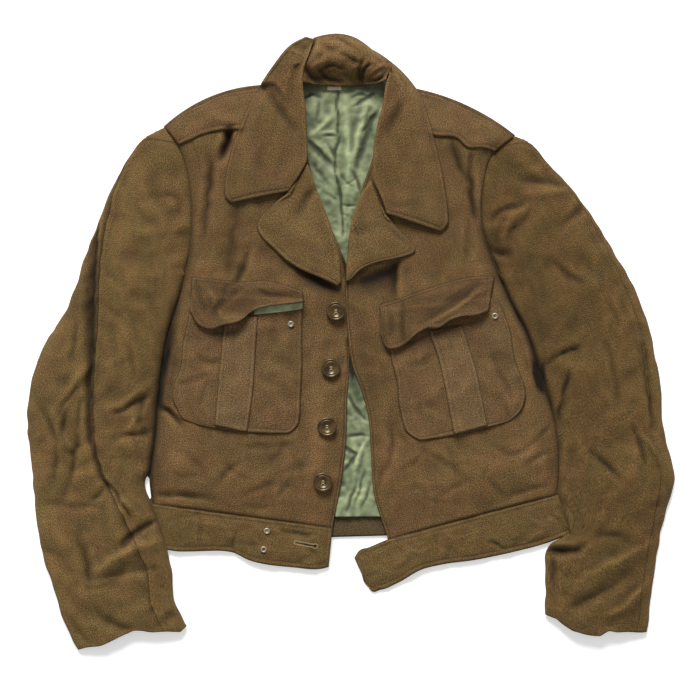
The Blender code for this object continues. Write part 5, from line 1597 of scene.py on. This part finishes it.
# radius and height of the turned profile, from the axis under the button to the axis on top
BUTTON_PROFILE = ((0, 0), (8.5, 0), (10.6, 0.7), (11.8, 1.9), (12, 2.8), (11.7, 3.6), (11.1, 4.0),
                  (10.3, 4.2), (9.6, 3.9), (9.1, 3.3), (8.6, 3.2), (8.1, 3.6), (7.5, 3.7),
                  (6.9, 3.4), (5.8, 2.6), (4.2, 2.0), (2.2, 1.7), (0, 1.6))
HOLE_R, HOLE_AT = 1.0, 1.9  # radius of a hole, and how far it is from the button's middle
THREAD_R, THREAD_HEIGHT = 0.45, 2.3
THREAD_AT = 0.72 * HOLE_AT  # the threads go down into the holes this far to each side
THREAD_APART = 0.25    # two threads lie in each pair of holes, this far off its middle
THREAD_DOWN = 2.0      # and go down into them this far
SMOOTH_HORN, SMOOTH_THREAD = 60, 80  # edges duller than this angle are shaded round


def foot_of(node):
    """The middle of a node's lower side, in millimetres."""
    low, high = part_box(node)
    return Vector(((low[0] + high[0]) / 2, (low[1] + high[1]) / 2, low[2])) / MM


def turned(profile, segments, centre):
    """A round solid turned about Z, set at a point of the frame."""
    bm = bmesh.new()
    ring = [bm.verts.new((r, 0, z)) for r, z in profile]
    edges = [bm.edges.new(pair) for pair in zip(ring, ring[1:])]
    bmesh.ops.spin(bm, geom=ring + edges, cent=(0, 0, 0), axis=(0, 0, 1),
                   angle=2 * math.pi, steps=segments, use_merge=True)
    bmesh.ops.remove_doubles(bm, verts=bm.verts, dist=1e-3)
    bmesh.ops.recalc_face_normals(bm, faces=bm.faces)
    for vert in bm.verts:
        vert.co = (vert.co + centre) * MM
    return bm


def in_metres(bm):
    """Turn a form that was drawn in millimetres into metres."""
    for vert in bm.verts:
        vert.co *= MM
    return bm


def new_piece(name, bm, material, smooth_angle=40):
    """A piece of the scene from a form, smooth but for its sharp edges."""
    mesh = bpy.data.meshes.new(name)
    bm.to_mesh(mesh)
    bm.free()
    mesh.materials.append(material)
    mesh.shade_smooth()
    mesh.set_sharp_from_angle(angle=math.radians(smooth_angle))
    made = bpy.data.objects.new(name, mesh)
    bpy.context.scene.collection.objects.link(made)
    return made


def horn():
    """Glossy brown plastic with paler clouds in it, like horn."""
    made, nodes, links, shader = new_material("mottled brown plastic", {
        "Roughness": 0.34, "Specular IOR Level": 0.7, "Specular Tint": (1.0, 0.8, 0.52, 1)})
    place = node_with(nodes, "TexCoord")
    cloud = node_with(nodes, "TexNoise", {"Scale": 160, "Detail": 3})
    ramp = node_with(nodes, "ValToRGB")
    for stop, (position, colour) in zip(ramp.color_ramp.elements,
                                        ((0.35, (36, 26, 14)), (0.7, (84, 63, 36)))):
        stop.position = position
        stop.color = linear(*colour)
    links.new(place.outputs["Object"], cloud.inputs["Vector"])
    links.new(cloud.outputs["Fac"], ramp.inputs["Fac"])
    links.new(ramp.outputs["Color"], shader.inputs["Base Color"])
    return made


def plain(name, colour, roughness, metallic=0.0):
    """Thread or dulled metal, with a fine uneven surface."""
    made, nodes, links, shader = new_material(name, {"Roughness": roughness,
                                                     "Metallic": metallic})
    place = node_with(nodes, "TexCoord")
    grain = node_with(nodes, "TexNoise", {"Scale": 700})
    mixed = node_with(nodes, "Mix", {"A": linear(*(0.75 * c for c in colour)),
                                     "B": linear(*(min(255, 1.15 * c) for c in colour))},
                      data_type="RGBA")
    links.new(place.outputs["Object"], grain.inputs["Vector"])
    links.new(grain.outputs["Fac"], mixed.inputs["Factor"])
    links.new(mixed.outputs["Result"], shader.inputs["Base Color"])
    return made


HORN = horn()
BUTTON_THREAD = plain("button thread", (188, 168, 124), 0.9)


def bar(bm, start, end, radius, sides=6):
    """A short rounded bar from one point to another, in millimetres of the frame."""
    axis = end - start
    turn = axis.to_track_quat("Z", "Y").to_matrix().to_4x4()
    turn.translation = 0.5 * (start + end)
    bmesh.ops.create_cone(bm, cap_ends=True, segments=sides, radius1=radius, radius2=radius,
                          depth=axis.length, matrix=turn)


def holed(button, centre):
    """Bore the four holes through a button."""
    drills = bmesh.new()
    for dx, dy in ((1, 1), (1, -1), (-1, 1), (-1, -1)):
        at = centre + Vector((dx, dy, 0)) * HOLE_AT * math.sqrt(0.5)
        bar(drills, at - Vector((0, 0, 3)), at + Vector((0, 0, 8)), HOLE_R, 10)
    cutter = new_piece("cutter", in_metres(drills), HORN)
    cut = button.modifiers.new("holes", "BOOLEAN")
    cut.object = cutter
    bpy.context.view_layer.update()
    ready = button.evaluated_get(bpy.context.evaluated_depsgraph_get())
    mesh = bpy.data.meshes.new_from_object(ready)
    button.modifiers.clear()
    button.data = mesh
    bpy.data.objects.remove(cutter)


for node in BUTTONS:
    centre = foot_of(node)
    button = new_piece(f"{node}_horn", turned(BUTTON_PROFILE, 40, centre), HORN, SMOOTH_HORN)
    holed(button, centre)
    sewing = bmesh.new()
    down = Vector((0, 0, THREAD_DOWN))
    for side in (1, -1):
        for aside in (-THREAD_APART, THREAD_APART):
            a = centre + Vector((-THREAD_AT, side * THREAD_AT + aside, THREAD_HEIGHT))
            b = centre + Vector((THREAD_AT, side * THREAD_AT + aside, THREAD_HEIGHT))
            for start, end in ((a, b), (a, a - down), (b, b - down)):
                bar(sewing, start, end, THREAD_R)
    thread = new_piece(f"{node}_thread", in_metres(sewing), BUTTON_THREAD, SMOOTH_THREAD)
    for made in (button, thread):
        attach(made, "root")
    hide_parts(node)

# ============================================================ studs
# Small worn nickel press studs: a raised ring round a hollow, one below each flap, two on the band.

STUD_PROFILE = ((0, 0), (3.6, 0), (4.0, 0.5), (4.0, 1.2), (3.6, 1.9), (3.0, 2.2), (2.4, 2.1),
                (1.9, 1.6), (1.6, 0.5), (0, 0.4))
STUD_GROUND = (("pocket_stud_right", pocket_right), ("pocket_stud_left", pocket_left),
               ("band_stud_upper", band_right), ("band_stud_lower", band_right))
STUD_R, STUD_PRESS = 4.0, 0.8  # its foot is pressed this far into the cloth
STUD_METAL = plain("worn nickel", (176, 166, 146), 0.45, 0.7)
for node, ground in STUD_GROUND:
    centre = foot_of(node)
    round_it = np.array([[(centre.x + STUD_R * dx, centre.y + STUD_R * dy, 0)
                          for dx in (-1, 0, 1)] for dy in (-1, 0, 1)])
    centre.z = max(centre.z, heights_on([tree_of(ground)], round_it).max() - STUD_PRESS)
    stud = new_piece(f"{node}_nickel", turned(STUD_PROFILE, 24, centre), STUD_METAL, SMOOTH_HORN)
    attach(stud, "root")
    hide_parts(node)

# ============================================================ stitching
# Lock stitches in brown thread run beside the turned-in edges. Each shows as a short straight
# thread lying partly sunk in the cloth.

STITCH, STITCH_GAP, STITCH_R = 2.6, 0.9, 0.32
STITCH_PROUD = 0.12    # the thread lies this far above the cloth
THREAD = plain("brown sewing thread", (112, 88, 58), 0.85)


def stitches(bm, line):
    """Lay stitches along a line of points."""
    points = np.asarray(line, float)
    run = np.concatenate(((0.0,), np.cumsum(np.linalg.norm(np.diff(points, axis=0), axis=1))))
    for start in np.arange(1.0, run[-1] - STITCH, STITCH + STITCH_GAP):
        ends = [Vector([np.interp(at, run, points[:, k]) for k in range(3)])
                for at in (start, start + STITCH)]
        for end in ends:
            end.x += SHIFT[0]
            end.y += SHIFT[1]
            end.z += STITCH_PROUD
        bar(bm, ends[0], ends[1], STITCH_R, 5)


def edge_line(grid, side):
    """The line of points that the stitches beside one edge follow."""
    return {"first": grid[:, STITCH_ROW], "last": grid[:, -1 - STITCH_ROW],
            "bottom": grid[STITCH_ROW], "top": grid[-1 - STITCH_ROW]}[side]


# the keyhole buttonhole: where its slit starts and where its eye is, half the width of each, and
# how long, how far apart, how thick and how proud its close stitches are
HOLE_START, HOLE_END = (-70.4, -248.4), (-45.8, -253.2)
HOLE_HALF, EYE_HALF = 1.1, 2.3
PURL, PURL_STEP, PURL_R, PURL_PROUD = 1.7, 0.75, 0.36, 0.25
TACK_AT = (-1.8, -0.9, 0, 0.9, 1.8)  # the stitches across the slit's start
PALE_THREAD = plain("buttonhole thread", (158, 136, 98), 0.85)


def keyhole(bm, ground):
    """Close stitches that point outwards all round a buttonhole."""
    start, end = np.array(HOLE_START), np.array(HOLE_END)
    length = np.hypot(*(end - start))
    along = (end - start) / length
    aside = np.array((-along[1], along[0]))
    outline = [(t, HOLE_HALF, 0, 1) for t in np.arange(0, length - EYE_HALF, PURL_STEP)]
    outline += [(length + EYE_HALF * math.cos(turn), EYE_HALF * math.sin(turn),
                 math.cos(turn), math.sin(turn)) for turn in np.radians(np.arange(150, 0, -15))]
    outline += [(t, -side, out, -up) for t, side, out, up in outline]
    outline += [(-0.4, side, -1, 0) for side in TACK_AT]
    tree = tree_of(ground)
    for t, side, out, up in outline:
        ends = []
        for reach in (0, PURL):
            x, y = start + along * (t + reach * out) + aside * (side + reach * up)
            z = hit_below(tree, x, y).z
            ends.append(Vector((x + SHIFT[0], y + SHIFT[1], z + PURL_PROUD)))
        bar(bm, ends[0], ends[1], PURL_R, 5)


bm = bmesh.new()
keyhole(bm, band_right)
buttonhole = new_piece("buttonhole_stitching", in_metres(bm), PALE_THREAD, SMOOTH_THREAD)
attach(buttonhole, "root")

# each seam's pieces, and the edges of each that it runs beside
SEAMS = (
    ("front_stitching", (front_right, front_left), ("last",)),
    ("pocket_stitching", (pocket_right, pocket_left), ("first", "last", "bottom")),
    ("flap_stitching", (flap_right, flap_left), ("first", "last", "bottom", "top")),
    ("lapel_stitching", (lapel_right, lapel_left), ("first",)),
    ("collar_stitching", (leaf_right, leaf_left), ("first", "bottom")),
    ("strap_stitching", (strap_right, strap_left), ("first", "last")),
    ("band_stitching", (band_right, band_left), ("first", "last")),
)
for name, grids, sides in SEAMS:
    bm = bmesh.new()
    for grid in grids:
        for side in sides:
            stitches(bm, edge_line(grid, side))
    seam = new_piece(name, in_metres(bm), THREAD, SMOOTH_THREAD)
    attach(seam, "root")

# ============================================================ floor, light and camera
# The jacket lies on a pale table under a broad soft light. The camera looks straight down.

TABLE_SIZE, TABLE_TOP = 6, -0.0006
PALE = {"Base Color": linear(250, 250, 250), "Roughness": 1.0, "Specular IOR Level": 0.0,
        "Emission Color": (1, 1, 1, 1), "Emission Strength": 0.4}

bm = bmesh.new()
bmesh.ops.create_grid(bm, x_segments=1, y_segments=1, size=TABLE_SIZE)
for vert in bm.verts:
    vert.co.z = TABLE_TOP
floor = new_piece("floor", bm, new_material("pale table", PALE)[0])

world = bpy.data.worlds.new("studio")
bpy.context.scene.world = world
world.use_nodes = True
sky = world.node_tree.nodes["Background"]
sky.inputs["Color"].default_value = (1, 1, 1, 1)
sky.inputs["Strength"].default_value = 0.36

# one broad light from above the collar; the sky round it fills the shadows
KEY_FROM = (-0.15, 1.0, 0.68)
light = bpy.data.lights.new("key light", "SUN")
light.energy = 4.0
light.angle = math.radians(26)
key = bpy.data.objects.new("key light", light)
key.rotation_euler = (-Vector(KEY_FROM)).to_track_quat("-Z", "Y").to_euler()
bpy.context.scene.collection.objects.link(key)

VIEW_CENTRE = (-0.00125, -0.0094)  # the point below the middle of the picture
VIEW_WIDTH = 0.8735    # what the picture takes in at the jacket's height
EYE = 4.0              # height of the camera
CLOTH_HEIGHT = 0.008   # mean height of the jacket's upper side
SENSOR = 36
camera = bpy.data.objects.new("camera", bpy.data.cameras.new("camera"))
camera.data.sensor_width = SENSOR
camera.data.lens = SENSOR * (EYE - CLOTH_HEIGHT) / VIEW_WIDTH
camera.location = (*VIEW_CENTRE, EYE)
bpy.context.scene.collection.objects.link(camera)
bpy.context.scene.camera = camera
bpy.context.scene.view_settings.view_transform = "Standard"
